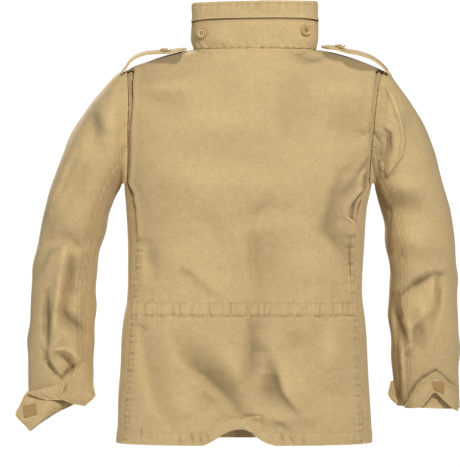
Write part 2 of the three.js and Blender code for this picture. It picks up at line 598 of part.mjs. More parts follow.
// Cuff pieces as leaves with four corners: a and b are the ends of the root, c and d those of the
// free edge. bow: how far the root's middle comes out, arch: how far the free edge's middle rises,
// tuck: how far the root goes in under the end of the sleeve.
const CUFF_CLOTH = 2;
const CUFF_LEAVES = [
  {
    name: 'hand_guard_left', a: [-335, 6, -687], b: [-438, 14, -667.2], c: [-434, -26, -737], d: [-464, -16, -708],
    bow: 24, arch: 0, tuck: 0,
  },
  {
    name: 'cuff_tab_left', a: [-344, -12.9, -630], b: [-373, -16.6, -673], c: [-310, 0, -652], d: [-326, -8, -690],
    bow: 0, arch: 0, tuck: 0,
  },
  {
    name: 'hand_guard_right', a: [284, 2, -693.9], b: [400, 4, -698.3], c: [322, -30, -640], d: [388, -24, -647],
    bow: 30, arch: 18, tuck: 14,
  },
  {
    name: 'cuff_tab_right', a: [269.3, 26, -644], b: [273.3, 24, -686], c: [259, 14, -654], d: [261, 12, -680],
    bow: 0, arch: 0, tuck: 0,
  },
];

// Squares of hook-and-loop nap on the hand guards: centre and half sizes as shares of the leaf
const GUARD_PATCHES = [
  { side: 'left', u: 0.66, w: 0.62, du: 0.18, dw: 0.18 },
  { side: 'right', u: 0.58, w: 0.60, du: 0.145, dw: 0.16 },
];
const PATCH_CLOTH = 1.2;

const TUCK_SHARE = 0.14;
function leafPoint({ a, b, c, d, bow, arch, tuck }, u, w) {
  const root = new THREE.Vector3(...a).lerp(new THREE.Vector3(...b), u);
  const edge = new THREE.Vector3(...c).lerp(new THREE.Vector3(...d), u);
  const middle = Math.sin(Math.PI * THREE.MathUtils.clamp(u, 0, 1));
  const out = tuck > 0 ? Math.max(w - TUCK_SHARE, 0) / (1 - TUCK_SHARE) : w;
  const point = root.lerp(edge, out);
  point.y += tuck * Math.max(1 - w / TUCK_SHARE, 0) - bow * middle * (1 - 0.7 * out);
  point.z += arch * middle * out;
  return point;
}

function cuffLeaf(leaf) {
  const surface = (u, w) => leafPoint(leaf, u, w);
  const columns = leaf.bow > 0 ? 8 : 2;
  const rows = leaf.tuck > 0 ? [0, TUCK_SHARE, ...shares(3, 0.2, 1)] : shares(3);
  return wall(leaf.name, surface, shares(columns), rows, { thick: CUFF_CLOTH });
}

function guardPatch({ side, u, w, du, dw }) {
  const leaf = CUFF_LEAVES.find(({ name }) => name === `hand_guard_${side}`);
  const surface = (across, along) => leafPoint(leaf, u + across * du, w + along * dw);
  const base = CUFF_CLOTH / 2 + 3 * SEAM_GAP + PATCH_CLOTH / 2;
  return wall(`guard_patch_${side}`, surface, [-1, 0, 1], [-1, 0, 1], { thick: PATCH_CLOTH, base, material: NAP });
}

const SIDES = ['left', 'right'];
const jacket = new THREE.Group();
jacket.add(
  backPanel(),
  ...SIDES.map(pleatUnderlay),
  waistCasing(),
  ...SIDES.map(frontPanel),
  ...frontClosure(),
  ...FLY_SNAPS.map(flySnap),
  ...POCKETS.flatMap((pocket) => SIDES.flatMap((side) => pocketParts(pocket, side))),
  ...SIDES.flatMap((side) => ['top', 'under'].map((part) => sleevePart(side, part))),
  ...collarParts(),
  ...COLLAR_BUTTONS.map(collarButton),
  ...SIDES.map(shoulderStrap),
  ...SIDES.map(strapButton),
  ...CUFF_LEAVES.map(cuffLeaf),
  ...GUARD_PATCHES.map(guardPatch),
);

export default jacket;
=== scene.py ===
import math
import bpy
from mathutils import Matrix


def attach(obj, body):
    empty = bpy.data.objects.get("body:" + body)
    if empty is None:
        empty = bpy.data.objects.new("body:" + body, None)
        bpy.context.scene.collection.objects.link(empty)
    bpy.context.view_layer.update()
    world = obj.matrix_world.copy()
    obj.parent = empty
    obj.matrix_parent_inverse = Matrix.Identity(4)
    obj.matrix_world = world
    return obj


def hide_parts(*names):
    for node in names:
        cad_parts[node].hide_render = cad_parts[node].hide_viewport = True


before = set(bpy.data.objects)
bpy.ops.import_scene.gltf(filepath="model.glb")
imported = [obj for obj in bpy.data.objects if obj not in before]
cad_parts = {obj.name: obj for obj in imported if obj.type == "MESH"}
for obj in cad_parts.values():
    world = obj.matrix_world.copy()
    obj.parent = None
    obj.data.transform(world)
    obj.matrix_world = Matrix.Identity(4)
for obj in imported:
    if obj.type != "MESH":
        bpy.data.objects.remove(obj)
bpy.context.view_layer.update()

from types import SimpleNamespace

import bpy
import numpy as np
from mathutils import Vector

# The looks of a field jacket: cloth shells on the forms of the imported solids, with folds, sewing and light.
# Lengths in the tables are millimetres, angles degrees. +X is the wearer's right, +Y the front, +Z up.
MM = 0.001
DEG = math.pi / 180
SIDES = ("left", "right")
SIGN = {"left": -1, "right": 1}
CLOTH = 1.6
SEAM_GAP = 0.3

# Scales of the fold tables' depths, and the height that ridges stay under
FOLD_SCALE = {"valley": 2, "ridge": 1.8, "limit": 20}
FRONT_FOLD_SCALE = {"valley": 2.6, "ridge": 1.7, "limit": 8}

# Painted shade and highlight for each mm of a soft fold, and painted shade, highlight and wear for each mm of
# a sharp crease or of a small worn edge
FOLD_PAINTED_LIGHT = 0.02
CREASE_PAINTED_LIGHT_AND_WEAR = {"dark": 0.75, "light": 0.3}

# A pixel of the photo at the plane of the armholes, and the pixel at the origin
PIXEL = 1.94
ORIGIN_PX = (255, 50)

# The camera in metres, looking along +Y, and the width it sees at the origin
CAMERA = {"x": -0.0485, "y": -6.0, "z": -0.356, "width": 0.8924}

# Shoulders and neck
SHOULDER_HALF = 253
NECK_HALF = 118
SHOULDER_CURVE = 1.55
NECK_BACK_SQUARE = 3
NECK_FRONT_SQUARE = 2.2
NECK_SOFT = 34
NECK_SAMPLES = (-1, -0.75, -0.5, -0.25, 0, 0.25, 0.5, 0.75, 1)
ARMPIT_LEVEL = 0.66

# Torso sections from the hem (v 0) to the neck and shoulder seam (v 1). z: height at the centre
# back, cx: centre line, w: half width, back and front: depths, n: squareness, neck: how far the
# row takes the neckline's shape, ridge: height beside the neck, fall: drop from there to the
# armhole, dip: drop to the centre front.
TORSO_COLUMNS = "v z cx w back front n neck ridge fall dip"
TORSO = [
    (0.00, -760, -22, 247, 122, 128, 2.5, 0.00, -760, 0, 0),
    (0.12, -673, -22, 242, 120, 127, 2.5, 0.00, -673, 0, 0),
    (0.22, -597, -21, 237, 117, 124, 2.5, 0.00, -597, 0, 0),
    (0.32, -521, -20, 234, 113, 120, 2.5, 0.00, -521, 0, 0),
    (0.37, -483, -20, 230, 111, 118, 2.5, 0.00, -483, 0, 0),
    (0.48, -399, -18, 227, 114, 120, 2.6, 0.00, -399, 0, 0),
    (0.60, -308, -16, 232, 120, 125, 2.8, 0.00, -308, 0, 0),
    (0.66, -258, -13, 238, 123, 127, 3.0, 0.00, -258, 0, 0),
    (0.72, -172, -9, 246, 118, 125, 3.3, 0.00, -150, -14, -23),
    (0.80, -107, -5, 250, 105, 121, 3.3, 0.05, -80, -27, -36),
    (0.88, -60, -3, 252, 86, 112, 3.3, 0.20, -38, -35, -48),
    (0.93, -33, -1, 253, 71, 102, 3.2, 0.37, -17, -39, -55),
    (0.97, -13, 0, 253, 59, 92, 3.0, 0.63, -6, -41, -59),
    (1.00, 0, 0, 253, 50, 82, 2.8, 1.00, -1, -42, -60),
]

# Angle round the torso, from the centre back, of the side seam and of the armhole's two edges
EDGES_COLUMNS = "v back front"
EDGES = [
    (0.00, 66, 66),
    (0.37, 65, 65),
    (0.50, 63, 63),
    (0.60, 63, 63),
    (0.635, 68, 68),
    (0.66, 76, 76),
    (0.67, 74, 90),
    (0.69, 71, 103),
    (0.73, 69, 114),
    (0.80, 68, 119),
    (0.88, 70, 118),
    (0.93, 72, 113),
    (0.97, 76, 105),
    (0.99, 82, 97),
    (1.00, 88, 92),
]

# Sleeve rings below the armhole. ox, oz: outermost point, ix, iz: point nearest the body,
# y: middle of the depth, d: half depth, lean: how far the back hangs below the middle.
SLEEVE_COLUMNS = "ox oz ix iz y d lean"
SLEEVES = {
    "left": [
        (281, -60, 263, -268, 9, 79, 0),
        (318, -106, 270, -281, 10, 83, 0),
        (357, -168, 277, -300, 11, 84, 0),
        (384, -230, 286, -324, 13, 82, 0),
        (403, -291, 293, -354, 15, 79, 0),
        (417, -353, 302, -393, 18, 75, 0),
        (429, -415, 307, -437, 21, 71, 0),
        (436, -477, 312, -487, 24, 66, 0),
        (438, -540, 312, -543, 27, 61, 0),
        (442, -600, 315, -600, 30, 54, 5),
        (440, -662, 316, -668, 32, 46, 9),
    ],
    "right": [
        (272, -60, 235, -272, 9, 79, 0),
        (305, -106, 240, -290, 10, 83, 0),
        (336, -168, 246, -312, 11, 84, 0),
        (357, -230, 252, -338, 13, 82, 0),
        (374, -291, 255, -367, 15, 79, 0),
        (386, -353, 259, -401, 18, 75, 0),
        (391, -415, 262, -441, 21, 71, 0),
        (394, -477, 262, -491, 24, 66, 0),
        (396, -548, 264, -552, 27, 61, 0),
        (397, -618, 268, -620, 30, 54, 0),
        (398, -696, 277, -690, 32, 46, 1),
    ],
}
SLEEVE_RADIUS = 70

# Levels where the armhole is read, and its gap to the sleeve
ARMHOLE_LEVELS = (1, 0.995, 0.98, 0.96, 0.93, 0.89, 0.84, 0.79, 0.75, 0.715, 0.69, 0.675, 0.665,
                  ARMPIT_LEVEL)
ARMHOLE_GAP = {"top": 0.5, "side": 0.2, "low": 0.5}

# Angles between which each part of a sleeve lies, its points round and along, and its seams' puckers
SLEEVE_ENDS = {"top": (-64, 128), "under": (128, 296)}
SLEEVE_GRID = {"top": (121, 241), "under": (101, 201)}
SLEEVE_PUCKER = {"top": 0.45, "under": 0.6}

# Soft folds of the back in photo pixels: depth (above 0 a ridge) and width in mm, skew (above 0
# broad on the left of the way along it, and sharp on the right), and the points along it.
BACK_FOLDS = [
    (-12, 24, 0.45, [(180, 350), (200, 371), (226, 394), (243, 418)]),
    (-8, 24, 0.5, [(254, 312), (252, 348), (247, 383)]),
    (9, 26, 0.55, [(275, 360), (288, 392), (303, 413)]),
    (-8, 22, 0, [(272, 374), (267, 402)]),
    (5, 16, 0, [(256, 416), (300, 421)]),
    (-6, 27, -0.2, [(324, 322), (312, 350), (306, 375), (320, 392), (338, 398)]),
    (-7, 20, 0.3, [(143, 335), (148, 360), (151, 385), (160, 411)]),
    (5, 22, 0, [(142, 86), (195, 84)]),
    (-6, 24, 0, [(140, 106), (186, 104)]),
    (4, 30, 0, [(196, 116), (264, 122)]),
    (-5, 34, 0, [(160, 148), (215, 160), (272, 166)]),
    (-7, 28, 0.5, [(288, 84), (286, 110), (292, 136)]),
    (-9, 28, 0.45, [(326, 127), (352, 132), (371, 130)]),
    (6, 26, 0, [(318, 88), (370, 86)]),
    (-10, 22, 0.5, [(345, 176), (336, 198), (327, 232), (338, 246), (348, 268)]),
    (-4, 8, 0, [(349, 250), (349, 290)]),
    (-9, 24, 0.5, [(256, 228), (255, 262), (263, 302)]),
    (-3, 20, 0, [(200, 214), (212, 232), (224, 250)]),
    (-4, 18, 0, [(240, 222), (270, 208), (290, 212)]),
    (4, 18, 0.4, [(163, 280), (181, 262), (200, 276), (226, 300)]),
    (-6, 15, 0, [(149, 250), (152, 275)]),
    (-4, 20, 0, [(205, 60), (222, 66), (227, 90)]),
    (-3, 20, 0, [(300, 72), (280, 84)]),
    (-5, 10, 0.4, [(286, 52), (303, 60), (322, 58)]),
    (4, 40, 0, [(160, 170), (200, 186), (240, 176)]),
    (4, 40, 0, [(310, 250), (316, 285)]),
    (6, 24, -0.3, [(216, 346), (234, 372), (248, 398)]),
    (6, 24, 0, [(262, 330), (262, 352)]),
    (-5, 22, 0, [(292, 330), (296, 360)]),
    (6, 22, 0, [(330, 340), (336, 372)]),
    (-6, 18, 0, [(200, 392), (222, 416)]),
    (5, 30, 0, [(176, 396), (188, 420)]),
]

# Folds of the fronts, with the same columns. The photo hides them, so they are guessed.
FRONT_FOLDS = [
    (-4.5, 22, 0.4, [(150, 148), (178, 175), (204, 222)]),
    (3.5, 18, -0.3, [(158, 190), (188, 218), (215, 262)]),
    (-4, 24, -0.4, [(362, 150), (335, 182), (316, 232)]),
    (3.5, 16, 0.3, [(352, 196), (322, 226), (300, 264)]),
    (-5, 22, 0.3, [(148, 286), (185, 300), (228, 288)]),
    (-4.5, 20, -0.3, [(364, 278), (325, 296), (285, 292)]),
    (4, 20, 0.2, [(160, 262), (196, 274), (226, 264)]),
    (4.5, 20, 0.4, [(164, 322), (173, 375), (166, 430)]),
    (-5, 24, -0.4, [(200, 312), (207, 372), (196, 440)]),
    (4.5, 20, -0.2, [(340, 320), (330, 380), (342, 436)]),
    (-5, 24, 0.4, [(306, 310), (299, 372), (313, 440)]),
    (-3.5, 16, 0.2, [(188, 82), (214, 102), (232, 138)]),
    (-3.5, 16, -0.2, [(326, 82), (300, 106), (282, 140)]),
]

# Strength of the shadow painted where each shoulder strap shades the back, and the band's lower edge in photo
# pixels
STRAP_SHADE = 1.35
STRAP_BANDS = {
    "left": [
        (128, 72), (134, 66), (141, 64), (160, 63.6), (167, 63.8),
        (175, 65), (181, 61), (183, 52), (184, 44),
    ],
    "right": [
        (320, 44), (322, 54), (326, 58), (332, 60.7), (341, 62),
        (348, 67.5), (358, 70.6), (373, 72), (380, 80),
    ],
}

# Folds of each sleeve's back half, with the same columns
SLEEVE_FOLDS = {
    "left": [
        (7, 24, 0.5, [(100, 106), (105, 138)]),
        (-6, 20, 0, [(91, 112), (97, 142)]),
        (6, 20, -0.4, [(84, 152), (64, 188), (42, 226)]),
        (-9, 22, 0.5, [(78, 158), (66, 186), (56, 206)]),
        (-5, 14, 0, [(48, 212), (45, 238)]),
        (-6, 13, 0.4, [(44, 246), (64, 240), (78, 247)]),
        (7, 18, 0.2, [(84, 252), (64, 256), (48, 266)]),
        (5, 9, 0, [(66, 247), (59, 278), (57, 314)]),
        (-8, 13, 0.4, [(70, 252), (65, 290), (61, 314)]),
        (-8, 13, 0, [(60, 314), (72, 325), (83, 334)]),
        (-9, 11, 0.3, [(47, 294), (47, 319), (46, 342)]),
        (7, 11, 0.3, [(51, 296), (52, 325), (51, 348)]),
        (-7, 8, 0.3, [(59, 357), (67, 361), (70, 368), (66, 376)]),
        (4.5, 4, 0, [(56, 350), (66, 350), (74, 354), (78, 361), (77, 369), (72, 380), (68, 390)]),
        (4, 5, 0.3, [(43, 340), (46, 356), (53, 368), (61, 379)]),
        (-5, 4, -0.3, [(45, 350), (47, 360), (56, 373), (62, 379)]),
    ],
    "right": [
        (-6, 18, 0, [(404, 106), (414, 138)]),
        (7, 18, 0, [(396, 96), (404, 122)]),
        (6, 20, 0, [(384, 188), (424, 188)]),
        (-7, 26, 0, [(384, 206), (424, 214)]),
        (7, 22, 0, [(392, 240), (436, 244)]),
        (-8, 14, 0.4, [(434, 277), (416, 286), (403, 298)]),
        (-6, 9, 0, [(440, 277), (434, 322)]),
        (6, 10, 0, [(426, 311), (412, 328), (410, 346)]),
        (-7, 14, 0, [(421, 322), (418, 352)]),
        (-8, 10, 0, [(396, 298), (399, 338)]),
        (5.5, 3.6, -0.3, [(383, 81), (394, 100), (402, 126), (404, 140), (401, 156), (387, 176)]),
        (-4, 6, 0, [(386, 93), (381, 108), (379, 120)]),
        (-5, 4.5, 0, [(380, 127), (389, 134), (390, 148), (384, 162), (385, 173)]),
        (4, 4, 0.3, [(400, 338), (402, 368), (404, 400)]),
    ],
}

# Sharp creases and small worn edges, with the same columns; their depth also sets their painted shade in the
# creases and painted highlight and wear on the edges
CREASES = {
    "back": [
        (-1.8, 3, 0, [(370, 122), (371, 138)]),
        (-1.4, 4, 0.3, [(352, 136), (360, 134), (369, 133)]),
        (-2.4, 3.5, 0, [(369, 156), (364, 166), (358, 174)]),
        (-1.2, 8, 0.3, [(360, 172), (350, 185), (340, 194)]),
        (-2.4, 3.5, 0, [(370, 166), (365, 176), (364, 190), (362, 214)]),
        (1.4, 3.5, 0, [(367, 163), (361, 174), (359, 190)]),
        (-1.2, 3, 0, [(356, 233), (350, 237)]),
        (-1.1, 11, 0.4, [(335, 199), (329, 216), (328, 234), (340, 248), (348, 262)]),
        (-1.4, 3.5, 0, [(137, 324), (147, 330)]),
        (-1.4, 11, 0.5, [(184, 361), (207, 376), (226, 394), (244, 419)]),
        (-1.3, 13, 0.55, [(251, 320), (252, 345), (246, 381)]),
        (-1.5, 11, -0.5, [(276, 362), (277, 388), (284, 400), (301, 414)]),
        (-0.9, 14, 0, [(268, 385), (268, 402)]),
        (2.2, 3, 0, [(240, 425), (247, 419), (260, 417)]),
        (-1.4, 3, 0, [(246, 419), (250, 416), (262, 416), (262, 424)]),
        (-1.2, 5, 0, [(271, 421), (282, 425), (290, 431)]),
        (-1.1, 5, 0.3, [(290, 52), (300, 57), (312, 61), (325, 57)]),
        (-1.6, 3, 0, [(312, 47), (318, 43), (324, 42)]),
        (-1.2, 2.6, 0, [(141, 427), (141, 438)]),
        (-1.2, 2.6, 0, [(180, 437), (181, 444)]),
        (-1.4, 2.6, 0, [(191, 434), (193, 443)]),
        (-1.2, 2.6, 0, [(200, 434), (202, 443)]),
        (-1.4, 2.6, 0, [(206, 433), (209, 442)]),
        (-1.4, 2.6, 0, [(281, 434), (284, 443)]),
        (-1.4, 2.6, 0, [(290, 436), (294, 444)]),
        (-1.2, 2.6, 0, [(303, 438), (305, 445)]),
    ],
    "left": [
        (-1.8, 4, 0, [(45, 352), (47, 361), (56, 373), (62, 379)]),
        (-2.2, 4, 0, [(61, 379), (67, 372), (75, 365)]),
        (1.4, 3.5, 0, [(58, 350), (68, 351), (76, 357), (78, 366)]),
        (2.4, 5, 0.2, [(66, 246), (64, 262), (61, 281), (58, 297), (55, 315), (54, 332)]),
        (-1.1, 10, -0.3, [(71, 255), (69, 275), (64, 293), (63, 308), (68, 322), (79, 330)]),
        (-2.2, 4.5, 0.3, [(47, 293), (48, 315), (47, 334), (47, 354), (52, 364)]),
        (1.4, 5, 0, [(63, 330), (73, 348), (78, 360)]),
        (1.4, 5, 0, [(63, 330), (57, 342), (51, 347)]),
        (-1.1, 5, 0, [(60, 247), (50, 252), (46, 262), (38, 276)]),
        (1.4, 5, 0, [(47, 246), (56, 244), (63, 245)]),
        (1.4, 4.5, 0, [(87, 286), (77, 298), (77, 312), (85, 326)]),
        (-1.3, 4, 0, [(76, 241), (81, 248)]),
        (-1.2, 6, 0, [(96, 84), (88, 100), (78, 112)]),
        (-1.1, 9, 0, [(97, 110), (101, 124), (105, 138)]),
    ],
    "right": [
        (-2, 3, 0, [(374, 123), (374, 133), (380, 142)]),
        (-2.2, 3, 0, [(372, 148), (373, 162), (376, 180)]),
        (-1.5, 6, 0, [(376, 133), (389, 136), (388, 148), (383, 153)]),
        (1.6, 3.5, 0, [(380, 160), (388, 172), (394, 160), (400, 145)]),
        (1.2, 3.5, 0, [(383, 82), (393, 100), (400, 121)]),
        (-1.4, 4, 0, [(378, 168), (386, 177), (396, 172)]),
        (1.4, 4, 0, [(378, 180), (395, 206)]),
        (-1.6, 3, 0, [(379, 190), (387, 206), (391, 210), (390, 240)]),
        (-2.8, 2.3, 0, [(403, 407), (410, 394), (416, 384), (422, 378), (436, 370), (448, 381), (459, 388)]),
        (-2.4, 5, 0, [(398, 388), (399, 402)]),
        (1.6, 3.5, 0, [(400, 340), (402, 366), (403, 398)]),
        (1.6, 4.5, 0, [(400, 247), (393, 259), (391, 267)]),
        (1.6, 4.5, 0, [(434, 275), (432, 284), (433, 294), (433, 310)]),
        (-1, 9, 0.3, [(413, 289), (422, 281), (433, 275)]),
        (-0.9, 6, 0, [(438, 277), (437, 301), (431, 333)]),
        (-1, 9, -0.3, [(419, 315), (414, 332), (416, 348)]),
        (1.8, 4.5, 0, [(402, 299), (407, 320), (410, 337), (411, 346), (403, 352), (401, 362)]),
        (-1.6, 4, 0, [(392, 306), (399, 319), (408, 344)]),
        (-1.2, 4, 0, [(404, 355), (414, 357)]),
    ],
}

# The hem's rise at its pinched place: distance from the centre plane and rise
PINCH_COLUMNS = "x rise"
PINCH = [
    (-150, 0), (-104, 0), (-78, 11), (-56, 25), (-38, 31), (-24, 32),
    (-8, 26), (4, 15), (22, 5), (42, 0), (90, 0),
]
PINCH_TUCK = 8
PINCH_HEIGHT = 70

# Action pleats beside the armholes, and the casing of the waist's drawcord
PLEAT = {"edge": 11, "turn": 8, "drop": 1.2, "low": 0.526, "high": 0.965}
PLEAT_END = {"left": (9, -286), "right": (20, -330)}
CASING = {"low": 0.33, "high": 0.365, "cloth": 1.2, "holds": 0.6}

# Puckers across the casing: the photo pixel and the depth in mm
CASING_PUCKERS = [
    (146, 0.8), (158, 0.5), (173, 1.4), (181, 1.1), (192, 0.5), (210, 1.2),
    (222, 0.5), (231, 1.1), (248, 1.5), (258, 1.2), (264, 1), (270, 1.2),
    (288, 0.5), (301, 0.6), (318, 0.7), (331, 0.6), (341, 1.2), (346, 1.1),
]
TOP = 0.9998

# The fronts: where the flat part, the opening's edge and the side seam lie from the centre front,
# and the pockets' distances from there and levels
FRONT_FLAT = 204
FRONT_EDGE = 3.2
FRONT_SEAM = 304
POCKETS = [
    {"name": "chest", "near": 46, "far": 184, "body": (0.526, 0.7), "flap": (0.62, 0.715)},
    {"name": "hip", "near": 46, "far": 204, "body": (0.035, 0.29), "flap": (0.21, 0.305)},
]
POCKET_CLOTH = 2
FLAP_CLOTH = 2.2
ZIP = {"half": 16, "thick": 1.2, "top": 0.95}
FLY = {"right": 16, "left": 40, "thick": 2.2, "top": 0.975}
FLY_SNAPS = [0.0875, 0.23, 0.3825, 0.56, 0.738]

# Collar: inner layer, and an outer layer parted by the hood's zip
COLLAR = {"back": 90, "front": 74, "inner": 1.6, "outer": 2.2, "end": 176}
COLLAR_ZIP = {"low": 0.625, "high": 0.665, "fall": 0.04, "thick": 1}

# Buttons and snaps. Of each button on the collar: distance from the centre plane, height above the
# neckline and turn
COLLAR_BUTTONS = [("left", -102, 33, 0.1), ("right", 97, 37, 0.8)]
BUTTON = {"radius": 10.6, "holes": 2.9, "hole_depth": 2.4, "thread": 1.9}
SNAP = {"radius": 7.5}
DISC = {"rings": 34, "turns": 72}

# Shoulder straps: half widths, tilt to the back, and distance from the centre plane and height along
# each from the armhole
STRAP = {"thick": 3.6, "rear": 25, "end": 21, "tip": 7, "y": -2}
STRAP_TILT = {"left": 0.17, "right": 0.2}
STRAP_LINE = {
    "left": [
        (257.5, -41.4), (250, -33), (242, -21), (229, -12), (211, -6),
        (188, -4), (170, -4), (154, -1), (133, 2),
    ],
    "right": [
        (257.5, -41.4), (251, -34), (239, -23), (222, -13), (200, -6),
        (178, -2), (160, 3), (148, 5), (129, 6),
    ],
}

# Cuff pieces as nets of photo pixels and depths y in mm: rows from the root to the free edge
CUFF_CLOTH = 2
CUFF_NETS = {
    "hand_guard_left": [
        [(28, 391, 4), (40, 395, -8), (54, 397, -14), (77, 403, 6)],
        [(23.7, 396.5, 0), (37, 402, -14), (50.5, 404, -24), (67.4, 407.5, -2)],
        [(19.9, 405.4, -6), (33, 409.5, -18), (46.5, 411.5, -29), (57.8, 411.8, -8)],
        [(16.1, 414.3, -14), (26, 418, -22), (40, 420.5, -32), (45.5, 419.5, -18)],
        [(23.5, 422.2, -18), (27, 426, -22), (31, 430, -25), (34.9, 426, -23)],
    ],
    "cuff_tab_left": [
        [(77, 358, -11), (84, 357, 0), (91.4, 357, 27)],
        [(76.5, 368, -19), (84.5, 368.5, -10), (91.6, 369, 14)],
        [(73.8, 376.5, -24), (84, 378, -18), (91.4, 378, 2)],
        [(70.6, 385, -24), (82, 386, -22), (93.6, 385.6, -8)],
        [(65.5, 391.5, -25), (80, 393.5, -23), (95, 391, -12)],
        [(62.5, 395.5, -25), (79, 398.5, -24), (95.1, 396.5, -14)],
        [(61.2, 398, -25), (73.5, 403.1, -24), (85.6, 405.7, -20)],
    ],
    "hand_guard_right": [
        [(404.4, 407.6, -6), (413.6, 407.4, -16), (421.7, 405.8, -20), (427, 399.5, -24),
         (433.7, 391.9, -28), (443, 400, -24), (452.7, 408.6, -12), (458, 411, 2)],
        [(404.5, 406.5, -8), (412.4, 403, -19), (419.6, 397, -24), (425.2, 392.7, -28), (434.7, 385.3, -31),
         (444.5, 394.8, -26), (453.5, 401.7, -14), (458.1, 403.8, 0)],
        [(404.6, 406.6, -10), (411.3, 399, -20), (417.5, 392, -24), (423.5, 386, -27), (435.6, 378.7, -30),
         (446, 389.6, -26), (454.2, 394.9, -14), (458.2, 396.7, 0)],
        [(404.6, 406.4, -14), (410.6, 396.4, -23), (416.2, 386.7, -27), (422.7, 379.3, -30),
         (436.6, 372.1, -32), (447.5, 382.4, -28), (455, 387, -16), (458.4, 389.6, -4)],
    ],
    "cuff_tab_right": [
        [(391.2, 381.6, 22), (395.5, 381.4, 25), (400.2, 381.6, 27)],
        [(390, 388, 18), (395.5, 391, 23), (401, 391, 26)],
        [(388.9, 394.2, 16), (393, 399, 20), (401, 399, 24)],
        [(395, 402.3, 17), (397.6, 403.7, 18), (401, 402.5, 22)],
    ],
}

# The inner band that shows in the open left cuff, and the corners of the nap squares
CUFF_BAND = [
    [(28.8, 391.6, -6), (38, 389.6, -15), (48, 387, -19), (57.5, 383.8, -20), (66, 382.5, -20)],
    [(28.6, 392.2, -8), (38, 393, -17), (48, 393, -22), (57, 391.5, -23), (63.5, 390, -23)],
    [(28.4, 392.8, -9), (38, 396.1, -17), (47, 399.1, -21), (55.5, 399.2, -22), (64, 400, -22)],
]
PATCHES = {
    "left": [(23.9, 406.4), (36.4, 403.2), (37.7, 414), (25.1, 417.7)],
    "right": [(430.9, 381), (442.9, 381), (442.9, 393), (432.4, 387.5)],
}
PATCH_COUNT = 25
PATCH_CLOTH = 1.2

# Sewing: a stitch, a zip tooth and its section, a bar of a button's thread, and how far above each
# hem's edge its row lies
STITCH = {"pitch": 3.2, "long": 2.3, "wide": 0.55, "high": 0.45}
TOOTH = {"pitch": 2.4, "shift": 0.7, "half": 0.8}
TOOTH_SECTION = ((-1.3, 0), (-0.9, 0.9), (0.9, 0.9), (1.3, 0))
THREAD_BAR = {"radius": 0.7, "arch": 0.5, "sides": 6}
HEM = 24
SLEEVE_HEM = 22

# Colours, linear
KHAKI = (0.565, 0.41, 0.20)
TAPE = (0.40, 0.29, 0.14)
NAP = (0.41, 0.255, 0.095)
HORN = (0.54, 0.35, 0.13)
BRASS = (0.24, 0.18, 0.09)
THREAD = (0.50, 0.36, 0.17)
# Near-black thread on the buttons, painted shade of their holes
THREAD_PAINTED_SHADE = (0.05, 0.03, 0.015)
TEETH = (0.30, 0.23, 0.13)

# Stage and light in metres and watts: name, place, size and power of each light
FLOOR = {"radius": 2.8, "height": -1.05, "tone": 0.6}
WORLD = {"seen": 1.05, "fill": 0.06}
LIGHTS = [
    ("key", (1.15, -3.9, 2.75), 0.8, 214),
    ("side_fill", (-3.6, -2, -0.4), 1.4, 44),
    ("low_fill", (3.2, -2.2, -0.9), 1.4, 18),
    ("rear_key", (-1.35, 3.9, 2.45), 0.9, 225),
]
LIGHT_AIM = (0, 0, -0.35)


# Curves and mixing

def mix(a, b, share):
    return a + (b - a) * share


def ease(low, high, at):
    """Rises smoothly from 0 at the first bound to 1 at the second, whichever is larger."""
    t = np.clip((np.asarray(at, float) - low) / (high - low), 0, 1)
    return t * t * (3 - 2 * t)


def track(xs, ys):
    """A smooth curve through a table's column that never swings past its rows."""
    xs, ys = np.asarray(xs, float), np.asarray(ys, float)
    steps = np.diff(xs)
    rises = np.diff(ys) / steps
    slopes = np.empty_like(ys)
    slopes[0], slopes[-1] = rises[0], rises[-1]
    total = rises[:-1] + rises[1:]
    same = rises[:-1] * rises[1:] > 0
    slopes[1:-1] = np.where(same, 2 * rises[:-1] * rises[1:] / np.where(total == 0, 1, total), 0)

    def read(at):
        at = np.asarray(at, float)
        i = np.clip(np.searchsorted(xs, at) - 1, 0, len(steps) - 1)
        t = np.clip((at - xs[i]) / steps[i], 0, 1)
        keep = (1 + 2 * t) * (1 - t) ** 2
        lead = t * (1 - t) ** 2 * steps[i]
        trail = t * t * (t - 1) * steps[i]
        return keep * ys[i] + lead * slopes[i] + t * t * (3 - 2 * t) * ys[i + 1] + trail * slopes[i + 1]

    return read


def tracks(columns, rows):
    names = columns.split()
    table = np.array(rows, float).T
    return SimpleNamespace(**{name: track(table[0], table[k]) for k, name in enumerate(names) if k})


def lengths_along(points):
    return np.concatenate([[0], np.cumsum(np.linalg.norm(np.diff(points, axis=0), axis=1))])


def spline(points, i, t):
    """Points at shares t of the stretches i of a smooth curve through the given ones."""
    padded = np.vstack([2 * points[0] - points[1], points, 2 * points[-1] - points[-2]])
    t = t[:, None]
    p0, p1, p2, p3 = padded[i], padded[i + 1], padded[i + 2], padded[i + 3]
    return 0.5 * (2 * p1 + (p2 - p0) * t + (2 * p0 - 5 * p1 + 4 * p2 - p3) * t ** 2
                  + (3 * p1 - 3 * p2 + p3 - p0) * t ** 3)


def along(points, shares):
    """Points of a smooth curve through the given ones, at shares of its length."""
    points = np.asarray(points, float)
    sums = lengths_along(points)
    at = np.asarray(shares, float) * sums[-1]
    i = np.clip(np.searchsorted(sums, at) - 1, 0, len(points) - 2)
    return spline(points, i, (at - sums[i]) / (sums[i + 1] - sums[i]))


def along_even(points, shares):
    """Points of a smooth curve through the given ones, which are evenly spread over the shares."""
    at = np.asarray(shares) * (len(points) - 1)
    i = np.clip(at.astype(int), 0, len(points) - 2)
    return spline(points, i, at - i)


def from_pixels(points):
    """x and z in mm of photo pixels."""
    points = np.asarray(points, float)
    return np.stack([(points[..., 0] - ORIGIN_PX[0]) * PIXEL, (ORIGIN_PX[1] - points[..., 1]) * PIXEL], -1)


